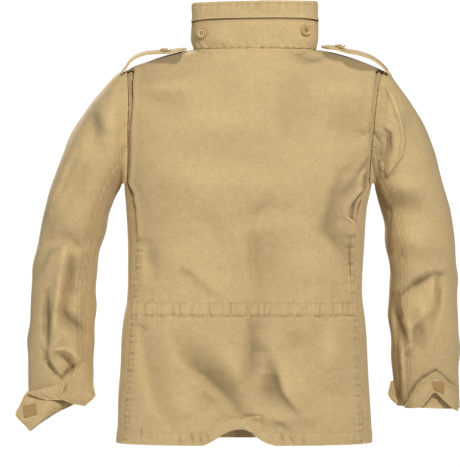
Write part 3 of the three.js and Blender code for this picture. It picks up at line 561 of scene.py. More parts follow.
def seen(point):
    """x and z of points as the camera sees them on the plane of the armholes."""
    share = -CAMERA["y"] / (-CAMERA["y"] + point[..., 1] * MM)
    middle_x, middle_z = CAMERA["x"] / MM, CAMERA["z"] / MM
    return middle_x + (point[..., 0] - middle_x) * share, middle_z + (point[..., 2] - middle_z) * share


def ripple(at, pitch, seed):
    """An uneven wave between about -1 and 1."""
    turn = 2 * math.pi * np.asarray(at, float) / pitch
    high = np.sin(1.73 * turn + 2.1 * seed + 1)
    low = np.sin(0.61 * turn + 3.7 * seed)
    return (np.sin(turn + seed) + 0.6 * high + 0.7 * low) / 2


def wander(across, up, pitch, seed):
    """A soft uneven surface between about -1 and 1, from waves that cross."""
    total = 0
    for k in range(5):
        turn = seed + 1.26 * k
        way = across * math.cos(turn) + up * math.sin(turn)
        total = total + np.sin(2 * math.pi * way / (pitch * (0.8 + 0.13 * k)) + 2.4 * k + seed)
    return total / 3


def bell(at, width):
    return np.exp(-((np.asarray(at, float) / width) ** 2))


def fold_sum(folds, x, z, valley=1, ridge=1):
    """Depth of a set of folds at each point; each fades towards its two ends."""
    total = np.zeros_like(x)
    for depth, width, skew, pixels in folds:
        points = from_pixels(pixels)
        spans = np.diff(points, axis=0)
        lengths = np.linalg.norm(spans, axis=1)
        starts = lengths_along(points)
        best, side, share, total_pull = (np.zeros_like(x) for _ in range(4))
        for start, span, length, sum_before in zip(points, spans, lengths, starts):
            dx, dz = x - start[0], z - start[1]
            t = np.clip((dx * span[0] + dz * span[1]) / length ** 2, 0, 1)
            away = np.hypot(dx - t * span[0], dz - t * span[1])
            pull = (away + 2) ** -5
            best += (away + 2) ** -6
            side += pull * (span[0] * dz - span[1] * dx) / length
            share += pull * (sum_before + t * length) / starts[-1]
            total_pull += pull
        best = np.maximum(best ** (-1 / 6) - 2, 0)
        side /= total_pull
        share /= total_pull
        depth *= valley if depth < 0 else ridge
        spread = width * (1 + skew * np.tanh(side / (0.35 * width)))
        fade = 0.4 + 0.6 * np.sin(math.pi * share)
        total += depth * fade * bell(best, spread)
    return total


def crease_painted_light_and_wear(sharp):
    """The painted light of sharp creases and small worn edges: shade in the creases, highlight and wear on
    the edges.
    """
    return np.where(sharp < 0, CREASE_PAINTED_LIGHT_AND_WEAR["dark"], CREASE_PAINTED_LIGHT_AND_WEAR["light"]) * sharp


def fold_relief(folds, x, z, scale=FOLD_SCALE):
    """Depth of the soft folds, whose ridges stay low enough for the jacket's outline."""
    total = fold_sum(folds, x, z, scale["valley"], scale["ridge"])
    return np.where(total > 0, scale["limit"] * np.tanh(total / scale["limit"]), total)


# Torso

torso = tracks(TORSO_COLUMNS, TORSO)
edges = tracks(EDGES_COLUMNS, EDGES)
pinch = tracks(PINCH_COLUMNS, PINCH)


def torso_half(v, x, side):
    """A point of a torso row: side -1 is the back, 1 the front. x is from the centre plane."""
    reach = np.minimum(np.abs(x) / torso.w(v), 1)
    squareness = torso.n(v)
    arch = (1 - reach ** squareness) ** (1 / squareness)
    neck_power = np.where(side < 0, NECK_BACK_SQUARE, NECK_FRONT_SQUARE)
    spread = NECK_SOFT * ease(0.999, 0.95, v)
    neck = 0
    for share in NECK_SAMPLES:
        reach_there = np.minimum(np.abs(x + share * spread) / NECK_HALF, 1)
        neck = neck + (1 - reach_there ** neck_power) ** (1 / neck_power) / len(NECK_SAMPLES)
    neck_reach = np.minimum(np.abs(x) / NECK_HALF, 1)
    depth = np.where(side < 0, torso.back(v), torso.front(v))
    y = side * (SEAM_GAP + depth * mix(arch, neck, torso.neck(v)))
    across = np.clip((np.abs(x) - NECK_HALF) / (SHOULDER_HALF - NECK_HALF), 0, 1.1)
    z = mix(torso.z(v), torso.ridge(v), ease(30, 130, np.abs(x)))
    z = z + torso.fall(v) * across ** SHOULDER_CURVE
    z = z + np.where(side > 0, torso.dip(v) * (1 - neck_reach ** 2), 0)
    return np.stack([x + torso.cx(v), y, z], -1)


def torso_point(v, angle):
    """A point at a level v and an angle in degrees from the centre back."""
    v, angle = np.broadcast_arrays(np.asarray(v, float), np.asarray(angle, float))
    sine = np.sin(angle * DEG)
    x = torso.w(v) * np.sign(sine) * np.abs(sine) ** (2 / torso.n(v))
    side = np.where(np.cos(angle * DEG) > 0, -1, 1)
    return torso_half(v, x, side)


def side_angle(width, v):
    return width / (torso.back(v) * 0.9) / DEG


def back_point(u, v):
    """u is -1 to 1 over the panel between its edges, and 2 or -2 at the side seam or armhole."""
    seam = edges.back(v) - side_angle(SEAM_GAP / 2, v)
    closed = ease(PLEAT["high"], 0.985, v)
    is_left = u < 0
    widest = np.where(is_left, PLEAT_END["left"][0], PLEAT_END["right"][0])
    bottom = np.where(is_left, PLEAT_END["left"][1], PLEAT_END["right"][1])
    is_open = ease(-PLEAT["turn"], PLEAT["turn"], torso.z(v) - bottom) * (1 - closed)
    narrowing = ease(0, 1, (torso.z(v) - bottom) / (torso.z(ARMPIT_LEVEL) - bottom))
    wide = mix(widest, PLEAT["edge"], narrowing)
    fold = seam - is_open * side_angle(wide, v)
    share = np.abs(u)
    angle = np.where(share <= 1, share * fold, mix(fold, seam, share - 1))
    point = torso_point(v, np.sign(u) * angle)
    x, z = seen(point)
    inside = ease(1, 0.82, angle / edges.back(v)) * ease(1, 0.93, v)
    loose = 0.4 * wander(x, z, 118, 0.7) + 0.5 * wander(x, z, 47, 2.2) + 0.3 * wander(x, z, 21, 1.1)
    gathered = 1 - CASING["holds"] * bell(v - (CASING["low"] + CASING["high"]) / 2, 0.045)
    point[..., 1] -= inside * (gathered * fold_relief(BACK_FOLDS, x, z) + loose)
    low = ease(TORSO[0][1] + PINCH_HEIGHT, TORSO[0][1], point[..., 2])
    rise = pinch.rise(point[..., 0])
    point[..., 2] += rise * low
    point[..., 1] += PINCH_TUCK * (rise / 32) * np.sin(math.pi * low)
    return point


def front_point(u, v):
    """u is the distance from the centre front, to the left above 0."""
    u, v = np.broadcast_arrays(np.asarray(u, float), np.asarray(v, float))
    reach = np.abs(u)

    def ahead(x):
        return 180 - np.arcsin(np.clip(x / torso.w(v), 0, 1) ** (torso.n(v) / 2)) / DEG

    seam = edges.front(v) + side_angle(SEAM_GAP / 2, v)
    flat = ahead(np.minimum(reach, FRONT_FLAT))
    rounded = mix(ahead(FRONT_FLAT), seam, (reach - FRONT_FLAT) / (FRONT_SEAM - FRONT_FLAT))
    angle = np.where(reach <= FRONT_FLAT, flat, rounded)
    point = torso_point(v, np.where(u < 0, angle, -angle))
    inside = ease(FRONT_SEAM, 240, reach) * ease(0.97, 0.86, v)
    point[..., 1] += inside * fold_relief(FRONT_FOLDS, point[..., 0], point[..., 2], FRONT_FOLD_SCALE)
    return point


# Sleeves

def armhole_loop(side):
    """The armhole's edge as a closed loop from the shoulder point, down the back and up the front."""
    levels = np.array(ARMHOLE_LEVELS)
    down = torso_point(levels, SIGN[side] * edges.back(levels))
    rising = levels[1:-1][::-1]
    up = torso_point(rising, SIGN[side] * edges.front(rising))
    points = np.vstack([down, up, down[:1]])
    sums = lengths_along(points)
    armpit = sums[len(down) - 1]

    def read(angle):
        turn = np.mod(angle, 360)
        want = np.where(turn <= 180, turn / 180 * armpit, armpit + (turn - 180) / 180 * (sums[-1] - armpit))
        return np.stack([np.interp(want, sums, points[:, k]) for k in range(3)], -1)

    return read


def sleeve_surface(side):
    """angle 0 is the sleeve's outer side, 90 the back, 180 next to the body; s runs down to 1."""
    sign = SIGN[side]
    loop = armhole_loop(side)
    rows = SLEEVES[side]
    table = [((i + 1) / len(rows), *row) for i, row in enumerate(rows)]
    columns = tracks("s " + SLEEVE_COLUMNS, table)

    def ring(angle, s):
        cosine, sine = np.cos(angle * DEG), np.sin(angle * DEG)
        ox, ix = sign * columns.ox(s), sign * columns.ix(s)
        oz, iz = columns.oz(s), columns.iz(s)
        x = (ox + ix) / 2 + (ox - ix) / 2 * cosine
        z = (oz + iz) / 2 + (oz - iz) / 2 * cosine - columns.lean(s) * sine
        y = columns.y(s) - columns.d(s) * sine
        return np.stack([x, y, z], -1)

    first = table[0][0]

    def read(angle, s):
        angle, s = np.broadcast_arrays(np.asarray(angle, float), np.asarray(s, float))
        rise = np.cos(angle * DEG)
        armhole = loop(angle)
        gap = np.where(rise > 0, ARMHOLE_GAP["top"], ARMHOLE_GAP["low"])
        armhole[..., 0] += sign * mix(ARMHOLE_GAP["side"], gap, rise ** 8)
        start = ring(angle, np.full_like(s, first))
        ahead = (ring(angle, np.full_like(s, first + 0.05)) - start) * (first / 0.05)
        leave = armhole + np.array([sign * 12, 0, 0])
        arrive = start - 0.33 * ahead
        t = np.clip(s / first, 0, 1)[..., None]
        left = 1 - t
        cap = left ** 3 * armhole + 3 * t * left ** 2 * leave + 3 * t * t * left * arrive + t ** 3 * start
        return np.where((s >= first)[..., None], ring(angle, s), cap)

    return read


# Collar

def collar_point(angle, h):
    """angle from the centre back, h from the neckline to the top edge."""
    angle, h = np.broadcast_arrays(np.asarray(angle, float), np.asarray(h, float))
    sine, cosine = np.sin(angle * DEG), np.cos(angle * DEG)
    front = cosine < 0
    power = np.where(front, NECK_FRONT_SQUARE, NECK_BACK_SQUARE)
    x = NECK_HALF * np.sign(sine) * np.abs(sine) ** (2 / power)
    point = torso_half(np.ones_like(x), x, np.where(front, 1, -1))
    out = point.copy()
    out[..., 2] = 0
    out /= np.linalg.norm(out, axis=-1, keepdims=True)
    fore = (1 - cosine) / 2
    tall = mix(COLLAR["back"], COLLAR["front"], ease(0.5, 1, fore)) + 0.016 * x
    point += out * (mix(-3.4, 0.5, ease(0, 0.25, h)) + 1.2 * np.sin(math.pi * h))[..., None]
    point[..., 2] += mix(-3, tall, h) + 2.4 * fore
    point[..., 1] += 6 * h * fore
    return point


def collar_band(low, high):
    """The part of the collar between two shares of its height, as a surface from 0 to 1."""
    low_fall = 0 if low < COLLAR_ZIP["low"] else COLLAR_ZIP["fall"]
    high_fall = 0 if high > COLLAR_ZIP["high"] + 0.1 else COLLAR_ZIP["fall"]

    def read(u, w):
        side = np.sin(np.minimum(np.abs(u), 90) * DEG) ** 5
        return collar_point(u, mix(low - low_fall * side, high - high_fall * side, w))

    return read


# Panels: grids of points with normals and lengths

class Panel:
    def __init__(self, surface, us, ws):
        self.u, self.w = np.meshgrid(us, ws, indexing="ij")
        self.points = surface(self.u, self.w)
        # Painted light and shade with some wear, a value at each point, that scales the cloth's colour
        self.wear = np.zeros_like(self.u)
        self.measure()

    def measure(self):
        points = self.points
        normal = np.cross(np.gradient(points, axis=0), np.gradient(points, axis=1))
        size = np.linalg.norm(normal, axis=-1, keepdims=True)
        self.normals = normal / np.where(size == 0, 1, size)
        across = np.linalg.norm(np.diff(points, axis=0), axis=-1)
        down = np.linalg.norm(np.diff(points, axis=1), axis=-1)
        self.from_u0 = np.vstack([np.zeros((1, points.shape[1])), np.cumsum(across, axis=0)])
        self.from_w0 = np.hstack([np.zeros((points.shape[0], 1)), np.cumsum(down, axis=1)])
        self.from_u1 = self.from_u0[-1:] - self.from_u0
        self.from_w1 = self.from_w0[:, -1:] - self.from_w0

    def push(self, relief):
        self.points = self.points + self.normals * relief[..., None]
        self.measure()

    def size(self):
        """Width, length and area in metres."""
        across = np.diff(self.points, axis=0)[:, :-1]
        down = np.diff(self.points, axis=1)[:-1]
        area = np.linalg.norm(np.cross(across, down), axis=-1).sum()
        return self.from_u0[-1].max() * MM, self.from_w0[:, -1].max() * MM, area * MM * MM

    def near(self, *names):
        """How far each point is from the nearest of the named edges."""
        return np.minimum.reduce([getattr(self, "from_" + name) for name in names])

    def rows(self, names, *distances):
        """The row at each distance from each of the named edges."""
        return [self.row(name, distance) for name in names for distance in distances]

    def row(self, edge, distance):
        """The points and normals at a distance from an edge of the grid."""
        lengths = getattr(self, "from_" + edge)
        if edge in ("u0", "u1"):
            lengths, points, normals = lengths.T, self.points.swapaxes(0, 1), self.normals.swapaxes(0, 1)
        else:
            points, normals = self.points, self.normals
        if edge.endswith("1"):
            lengths, points, normals = lengths[:, ::-1], points[:, ::-1], normals[:, ::-1]
        line, out = [], []
        for at, p, n in zip(lengths, points, normals):
            line.append([np.interp(distance, at, p[:, k]) for k in range(3)])
            out.append([np.interp(distance, at, n[:, k]) for k in range(3)])
        return np.array(line), np.array(out)


def graded(low, high, count, ends=0):
    """Values from low to high, closer together near both ends."""
    t = np.linspace(0, 1, count)
    return low + (high - low) * (t - ends * np.sin(2 * math.pi * t) / (2 * math.pi))


# Meshes

def new_object(name, vertices, faces, material, uvs=None, wear=None, smooth_angle=50):
    mesh = bpy.data.meshes.new(name)
    mesh.from_pydata(vertices, [], faces)
    if uvs is not None:
        corners = np.empty(len(mesh.loops), np.int32)
        mesh.loops.foreach_get("vertex_index", corners)
        layer = mesh.uv_layers.new(name="cloth")
        layer.data.foreach_set("uv", np.asarray(uvs, np.float32)[corners].ravel())
    # The point attribute of painted light and shade, with some wear
    if wear is not None:
        tone = mesh.attributes.new("wear", "FLOAT", "POINT")
        tone.data.foreach_set("value", np.asarray(wear, np.float32).ravel())
    mesh.shade_smooth()
    mesh.set_sharp_from_angle(angle=smooth_angle * DEG)
    mesh.materials.append(material)
    made = link(name, mesh)
    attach(made, "root")
    return made


def shell(name, panel, material, thick=CLOTH, base=0.0, stride=3):
    """A closed cloth wall: a fine outer face, a coarser inner one and the cut edges between."""
    middle = panel.points + panel.normals * base
    outer = middle + panel.normals * thick / 2
    rows, columns = outer.shape[1], outer.shape[0]
    pick_u = list(range(0, columns - 1, stride)) + [columns - 1]
    pick_w = list(range(0, rows - 1, stride)) + [rows - 1]
    inner = (middle - panel.normals * thick / 2)[np.ix_(pick_u, pick_w)]
    shift = outer.shape[0] * rows
    low_rows = len(pick_w)
    i, j = np.meshgrid(np.arange(columns - 1), np.arange(rows - 1), indexing="ij")
    a = (i * rows + j).ravel()
    faces = np.stack([a, a + rows, a + rows + 1, a + 1], 1).tolist()
    i, j = np.meshgrid(np.arange(len(pick_u) - 1), np.arange(low_rows - 1), indexing="ij")
    b = (shift + i * low_rows + j).ravel()
    faces += np.stack([b, b + 1, b + low_rows + 1, b + low_rows], 1).tolist()
    for k in range(len(pick_u) - 1):
        fine = range(pick_u[k], pick_u[k + 1] + 1)
        near, far = shift + k * low_rows, shift + (k + 1) * low_rows
        faces.append([far, *[m * rows for m in reversed(fine)], near])
        near, far = near + low_rows - 1, far + low_rows - 1
        faces.append([near, *[m * rows + rows - 1 for m in fine], far])
    last = (columns - 1) * rows
    last_low = shift + (len(pick_u) - 1) * low_rows
    for k in range(low_rows - 1):
        fine = range(pick_w[k], pick_w[k + 1] + 1)
        faces.append([shift + k, *list(fine), shift + k + 1])
        faces.append([last_low + k + 1, *[last + m for m in reversed(fine)], last_low + k])
    vertices = np.vstack([outer.reshape(-1, 3), inner.reshape(-1, 3)]) * MM
    flat = np.stack([panel.from_u0, panel.from_w0], -1) * MM
    uvs = np.vstack([flat.reshape(-1, 2), flat[np.ix_(pick_u, pick_w)].reshape(-1, 2)])
    wear = np.concatenate([panel.wear.ravel(), panel.wear[np.ix_(pick_u, pick_w)].ravel()])
    return new_object(name, vertices.tolist(), faces, material, uvs, wear)


def cloth(name, panel, material, nodes=(), slot="cloth", held="stretched", rests_on=(), **wall):
    """A cloth piece that stands for its CAD nodes, which it hides."""
    piece = shell(name, panel, material, **wall)
    if nodes:
        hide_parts(*nodes)
    width, length, area = panel.size()
    if min(width, length) < 0.01:
        return piece
    list(rests_on)
    round(min(area, 0.999 * width * length), 5)
    return piece


def resample(points, normals, pitch):
    """Middles, ends and normals of stitches spread along a line."""
    sums = lengths_along(points)
    count = max(int(sums[-1] / pitch), 1)
    at = (np.arange(count) + 0.5) * sums[-1] / count

    def read(values, where):
        return np.stack([np.interp(where, sums, values[:, k]) for k in range(3)], -1)

    half = STITCH["long"] / 2
    ends = read(points, np.clip(at - half, 0, sums[-1])), read(points, np.clip(at + half, 0, sums[-1]))
    return read(points, at), ends, read(normals, at)


def stitches(name, lines, lift, material):
    """Rows of sewing thread: each stitch is a small spindle lying on the cloth."""
    vertices, faces = [], []
    for points, normals in lines:
        middle, (start, end), out = resample(points + normals * lift, normals, STITCH["pitch"])
        run = end - start
        wide = np.cross(run, out)
        wide *= STITCH["wide"] / 2 / np.maximum(np.linalg.norm(wide, axis=1, keepdims=True), 1e-9)
        top = middle + out * STITCH["high"]
        ring = [start - out * 0.15, middle + wide, top, middle - wide, middle - out * 0.3, end - out * 0.15]
        base = len(vertices)
        block = np.stack(ring, 1).reshape(-1, 3) * MM
        vertices.extend(block.tolist())
        for k in range(len(middle)):
            o = base + 6 * k
            for a, b in ((1, 2), (2, 3), (3, 4), (4, 1)):
                faces.append((o, o + a, o + b))
                faces.append((o + 5, o + b, o + a))
    piece = new_object(name, vertices, faces, material, smooth_angle=80)
    return piece


# Materials

class Coat:
    """A material in the making: its shader and the nodes that feed it."""

    def __init__(self, name):
        self.material = bpy.data.materials.new(name)
        self.material.use_nodes = True
        self.tree = self.material.node_tree
        self.shader = self.tree.nodes["Principled BSDF"]
        coords = self.tree.nodes.new("ShaderNodeTexCoord")
        self.place = coords.outputs["Object"]
        self.grid = coords.outputs["UV"]

    def node(self, kind, values, sources, **settings):
        made = self.tree.nodes.new("ShaderNode" + kind)
        for name, setting in settings.items():
            setattr(made, name, setting)
        for socket, value in values.items():
            made.inputs[socket].default_value = value
        for socket, source in sources.items():
            self.tree.links.new(source, made.inputs[socket])
        return made.outputs

    def noise(self, scale, detail, rough=0.5):
        values = {"Scale": scale, "Detail": detail, "Roughness": rough}
        return self.node("TexNoise", values, {"Vector": self.place})["Fac"]

    def twill(self, scale):
        values = {"Scale": scale, "Distortion": 0.6, "Detail": 1}
        sources = {"Vector": self.grid}
        return self.node("TexWave", values, sources, wave_type="BANDS", bands_direction="DIAGONAL")["Fac"]

    def ranged(self, source, low, high, from_low=0, from_high=1):
        values = {"From Min": from_low, "From Max": from_high, "To Min": low, "To Max": high}
        return self.node("MapRange", values, {"Value": source})["Result"]

    def product(self, first, *others):
        for other in others:
            first = self.node("Math", {}, {0: first, 1: other}, operation="MULTIPLY")[0]
        return first

    def bump(self, height, distance, strength, **below):
        values = {"Distance": distance, "Strength": strength}
        return self.node("Bump", values, {"Height": height, **below})["Normal"]

    def colour(self, colour, factor):
        scaled = self.node("VectorMath", {0: colour}, {"Scale": factor}, operation="SCALE")
        self.feed("Base Color", scaled[0])

    def feed(self, socket, source):
        self.tree.links.new(source, self.shader.inputs[socket])

    def set(self, values):
        for socket, value in values.items():
            self.shader.inputs[socket].default_value = value
        return self.material


def cloth_material(name, colour, weave_pitch=0.0009, grain=0.085, weave=0.05, rough=0.86, sheen=0.25):
    coat = Coat(name)
    patches = coat.ranged(coat.noise(7, 3), 0.95, 1.05, 0.3, 0.7)
    mottle = coat.ranged(coat.noise(75, 3), 0.965, 1.035, 0.3, 0.7)
    fleck = coat.noise(270, 2, 0.6)
    flecks = coat.ranged(fleck, 1 - grain, 1 + grain, 0.3, 0.7)
    twill = coat.twill(0.314 / weave_pitch)
    lines = coat.ranged(twill, 1 - weave, 1 + weave)
    # The cloth's colour is scaled by the attribute of painted shade and highlight, with some wear
    light_and_wear = coat.node("Attribute", {}, {}, attribute_name="wear")["Fac"]
    coat.colour(colour, coat.product(patches, mottle, flecks, lines, coat.ranged(light_and_wear, 0.44, 1.56, -2, 2)))
    coat.feed("Roughness", coat.ranged(fleck, rough - 0.06, rough + 0.06))
    coat.feed("Normal", coat.bump(fleck, 0.00035, 0.5, Normal=coat.bump(twill, 0.00012, 0.6)))
    finish = {"Sheen Weight": sheen, "Sheen Roughness": 0.45, "Sheen Tint": (1, 0.93, 0.78, 1)}
    return coat.set({**finish, "Specular IOR Level": 0.25})


def nap_material():
    coat = Coat("nap")
    loops = coat.noise(620, 4, 0.75)
    coat.colour(NAP, coat.ranged(loops, 0.62, 1.4, 0.3, 0.7))
    coat.feed("Normal", coat.bump(loops, 0.0012, 1))
    return coat.set({"Roughness": 0.95, "Sheen Weight": 0.4, "Specular IOR Level": 0.15})


def hard_material(name, colour, rough, metallic=0, coated=0, scale=90, spread=0.12):
    coat = Coat(name)
    cloud = coat.noise(scale, 4, 0.6)
    coat.colour(colour, coat.ranged(cloud, 1 - spread, 1 + spread, 0.3, 0.7))
    coat.feed("Roughness", coat.ranged(cloud, rough - 0.08, rough + 0.08))
    coat.feed("Normal", coat.bump(coat.noise(900, 2), 0.00004, 0.4))
    return coat.set({"Metallic": metallic, "Coat Weight": coated})


SATEEN = cloth_material("sateen", KHAKI)
TAPE_CLOTH = cloth_material("zip_tape", TAPE, weave_pitch=0.0012, grain=0.08, weave=0.2)
THREAD_COAT = cloth_material("thread", THREAD, weave_pitch=0.0006, grain=0.1, sheen=0.4)
THREAD_PAINTED_SHADE_COAT = cloth_material("dark_thread", THREAD_PAINTED_SHADE, weave_pitch=0.0006, grain=0.1, sheen=0.2)
NAP_LOOPS = nap_material()
HORN_COAT = hard_material("horn", HORN, 0.32, coated=0.3, scale=240)
BRASS_COAT = hard_material("dull_brass", BRASS, 0.42, metallic=0.9, scale=300)
ZIP_METAL = hard_material("zip_teeth", TEETH, 0.4, metallic=0.85, scale=300)


# Sewing relief and tone

def seam_relief(off, run, seed, band_width, rows, pucker=1):
    """A felled seam: raised allowance, sewn grooves and small puckers along them."""
    raised = 0.8 * ease(band_width + 2.5, band_width - 0.5, off)
    grooves = -1.2 * sum(bell(off - row, 1.4) for row in rows)
    waves = 1.5 * ripple(run, 11, seed) * bell(off - band_width / 2, band_width)
    long_waves = 0.9 * ripple(run, 31, seed + 1.7) * bell(off - band_width / 2, 1.9 * band_width)
    return raised + grooves + pucker * (waves + long_waves)


def seam_painted_light_and_wear(off, run, seed, band_width, rows):
    """Painted shade in the sewn grooves, painted highlight and wear on the edge, and painted highlight and
    shade on the puckers.
    """
    dark = -0.75 * sum(bell(off - row, 1.3) for row in rows)
    light = 0.4 * bell(off, 1.8) + 0.3 * ripple(run, 11, seed) * bell(off - band_width / 2, band_width)
    return dark + light


def edge_painted_light_and_wear(near, row, dark=0.6, light=0.45, light_and_wear=1.8):
    """Painted shade along a sewn row, and painted highlight and wear on the edge."""
    return light * bell(near, light_and_wear) - dark * bell(near - row, 1.3)


def hem_relief(up):
    """The hem's doubled cloth and the groove of its row."""
    return 0.7 * ease(HEM + 2, HEM - 1, up) - 0.8 * bell(up - HEM, 1.5)


def strap_band(x, z):
    """Where the shoulder straps' shadow is painted on the back, and the cloth that rises along the shaded
    band.
    """
    shaded, raised = 0, 0
    for pixels in STRAP_BANDS.values():
        edge = from_pixels(pixels)
        within = ease(edge[0, 0] - 4, edge[0, 0] + 4, x) * ease(edge[-1, 0] + 4, edge[-1, 0] - 4, x)
        above = z - np.interp(x, edge[:, 0], edge[:, 1])
        shaded = shaded + within * ease(-2.5, 2.5, above)
        raised = raised + 1.6 * within * bell(above + 4, 5)
    return shaded, raised


# The pieces

def make_back():
    panel = Panel(back_point, graded(-1, 1, 271, 0.25), graded(0, TOP, 301, 0.12))
    up, run = panel.from_w0, panel.from_u0
    below = ease(0.535, 0.52, panel.w)
    turned = (1 - below) * ease(0.985, 0.96, panel.w)
    seam = {"band_width": 16, "rows": (9.5, 16)}
    relief = hem_relief(up)
    # Painted highlight and wear on the hem's edge, and painted shade in the groove of its row
    wear = 0.3 * bell(up, 2.2) - 0.5 * bell(up - HEM, 1.2)
    for off, seed in ((panel.from_u0, 0.4), (panel.from_u1, 2.9)):
        relief += below * seam_relief(off + 7, up, seed, **seam) - turned * 3.2 * bell(off, 2.6)
        relief += turned * (2.6 + 0.6 * ripple(up, 46, seed)) * bell(off - 7, 7)
        # Seams' painted light and wear, and a painted highlight on the pleat's turned edge
        wear += below * seam_painted_light_and_wear(off + 7, up, seed, **seam) + turned * 0.2 * bell(off - 2, 2.5)
    pinched = 0.35 + ease(150, 20, np.abs(panel.points[..., 0] + 30))
    relief += 1.3 * pinched * ripple(run, 15, 5.1) * bell(up - 14, 15)
    for level, seed in ((CASING["low"], 1.3), (CASING["high"], 4.2)):
        at = panel.points[..., 2] - torso.z(np.full_like(panel.u, level))
        relief += 0.7 * ripple(run, 19, seed) * bell(at, 16) - 0.4 * bell(at, 2)
    neck = bell(panel.from_w1, 9) * ease(130, 100, np.abs(panel.points[..., 0]))
    relief += 0.4 * ripple(run, 17, 7.7) * neck
    x, z = seen(panel.points)
    shaded, raised = strap_band(x, z)
    sharp = fold_sum(CREASES["back"], x, z)
    # Painted shade in fold valleys and creases, painted highlight on ridges, and wear on worn edges
    wear += FOLD_PAINTED_LIGHT * fold_relief(BACK_FOLDS, x, z) + crease_painted_light_and_wear(sharp)
    # Painted shadow of the shoulder straps on the back
    panel.wear = wear - STRAP_SHADE * shaded
    panel.push(relief + raised + sharp)
    cloth("back", panel, SATEEN, ["back"], held="hung")
    return panel


def make_pleat(side):
    us = graded(0.9, 1.95, 41)
    us = us if side == "right" else -us[::-1]
    panel = Panel(back_point, us, graded(PLEAT["low"], PLEAT["high"], 241))
    near = panel.from_u1 if side == "right" else panel.from_u0
    run = panel.from_w0
    seam = {"band_width": 9, "rows": (2, 8)}
    # Painted seam light and wear, and painted shade on the underlay deep in the pleat
    panel.wear = seam_painted_light_and_wear(near, run, 3.3, **seam) - 0.8 * ease(8, 13, near)
    panel.push(seam_relief(near, run, 3.3, pucker=0.35, **seam) - 7 * ease(8, 14, near))
    cloth(f"pleat_{side}", panel, SATEEN, [f"pleat_{side}"], base=-CLOTH - PLEAT["drop"], held="folded",
          rests_on=["back"])
    return panel


def make_casing():
    panel = Panel(back_point, graded(-0.995, 0.995, 361), graded(CASING["low"], CASING["high"], 15))
    run = panel.from_u0
    near = panel.near("w0", "w1")
    waves = ripple(run, 9, 2.2) * bell(near - 3, 6)
    relief = 0.7 * waves - 0.7 * bell(near - 2.4, 1.3) - 0.4 * bell(near, 1.6) + 0.9 * ripple(run, 33, 0.7)
    # Painted shade in the sewn rows, highlight and wear on the edges, and painted light and shade on the
    # puckers' waves
    panel.wear = edge_painted_light_and_wear(near, 2.4, 0.9, 0.5, 1.4) + 0.3 * waves
    x = panel.points[..., 0] / PIXEL + ORIGIN_PX[0]
    lean = 1.4 * (panel.w - CASING["low"]) / (CASING["high"] - CASING["low"]) - 0.68
    for place, depth in CASING_PUCKERS:
        pucker = depth * bell(x - place - lean * np.sign(place - ORIGIN_PX[0]), 1.3)
        relief -= 1.3 * pucker
        # Painted shade in each pucker
        panel.wear -= 0.6 * pucker
    panel.push(relief)
    base = CLOTH / 2 + SEAM_GAP + CASING["cloth"] / 2
    cloth("waist_casing", panel, SATEEN, ["waist_casing"], thick=CASING["cloth"], base=base,
          rests_on=["back"])
    return panel


def front_waves(panel, side):
    """Slack of a front and of what lies on it, guessed."""
    flow = ripple(panel.points[..., 0] + 0.35 * panel.points[..., 2], 95, 0.6 if side == "left" else 2.3)
    return 2.6 * flow * ease(0.97, 0.85, panel.w)


def make_front(side):
    ends = (FRONT_EDGE, FRONT_SEAM) if side == "left" else (-FRONT_SEAM, -FRONT_EDGE)
    panel = Panel(front_point, graded(*ends, 151, 0.1), graded(0, TOP, 201, 0.1))
    opening, seam = panel.from_u0, panel.from_u1
    if side == "right":
        opening, seam = seam, opening
    up = panel.from_w0
    below = ease(0.665, 0.645, panel.w)
    relief = below * seam_relief(seam, up, 1.9, band_width=3, rows=(2,), pucker=1.1)
    relief += hem_relief(up) + 0.9 * ripple(panel.from_u0, 17, 3.9) * bell(up - 14, 15)
    relief += front_waves(panel, side) * ease(0, 40, seam) * ease(0, 60, opening)
    # Seam's painted light and wear; painted highlight and wear on the hem's edge, painted shade in its row
    panel.wear = below * seam_painted_light_and_wear(seam, up, 1.9, band_width=6, rows=(2,))
    panel.wear += 0.3 * bell(up, 2.2) - 0.36 * bell(up - HEM, 1.2)
    panel.push(relief)
    cloth(f"front_{side}", panel, SATEEN, [f"front_{side}"], held="hung")
    return panel


def fold_sleeve(panel, side):
    """Moves a sleeve's points by its soft folds, and gives the relief of its creases and the painted shade
    and highlight of its folds and creases.
    """
    sign = SIGN[side]
    angle = np.mod(-sign * panel.u, 360)
    s = -panel.w
    x, z = seen(panel.points)
    facing = ease(-12, 22, angle) * ease(192, 150, angle)
    behind = ease(192, 225, angle) * ease(348, 315, angle)
    calm = ease(0.02, 0.08, s)
    loose = 0.3 * wander(x, z, 88, 1.9 + sign) + 0.4 * wander(x, z, 37, 0.4)
    loose += 0.25 * wander(x, z, 19, 1.4)
    folds = fold_relief(SLEEVE_FOLDS[side], x, z)
    panel.points[..., 1] -= calm * (facing * (folds + loose) - 0.45 * behind * folds)
    panel.measure()
    sharp = facing * fold_sum(CREASES[side], x, z)
    slack = 3.2 * ripple(z + 0.5 * x * sign, 120, 1.1 + sign) * ease(1, 0.92, s)
    # Painted shade in the folds' valleys and creases, painted highlight and wear on ridges and worn edges
    return sharp + calm * (1 - facing) * slack, FOLD_PAINTED_LIGHT * facing * folds + crease_painted_light_and_wear(sharp)


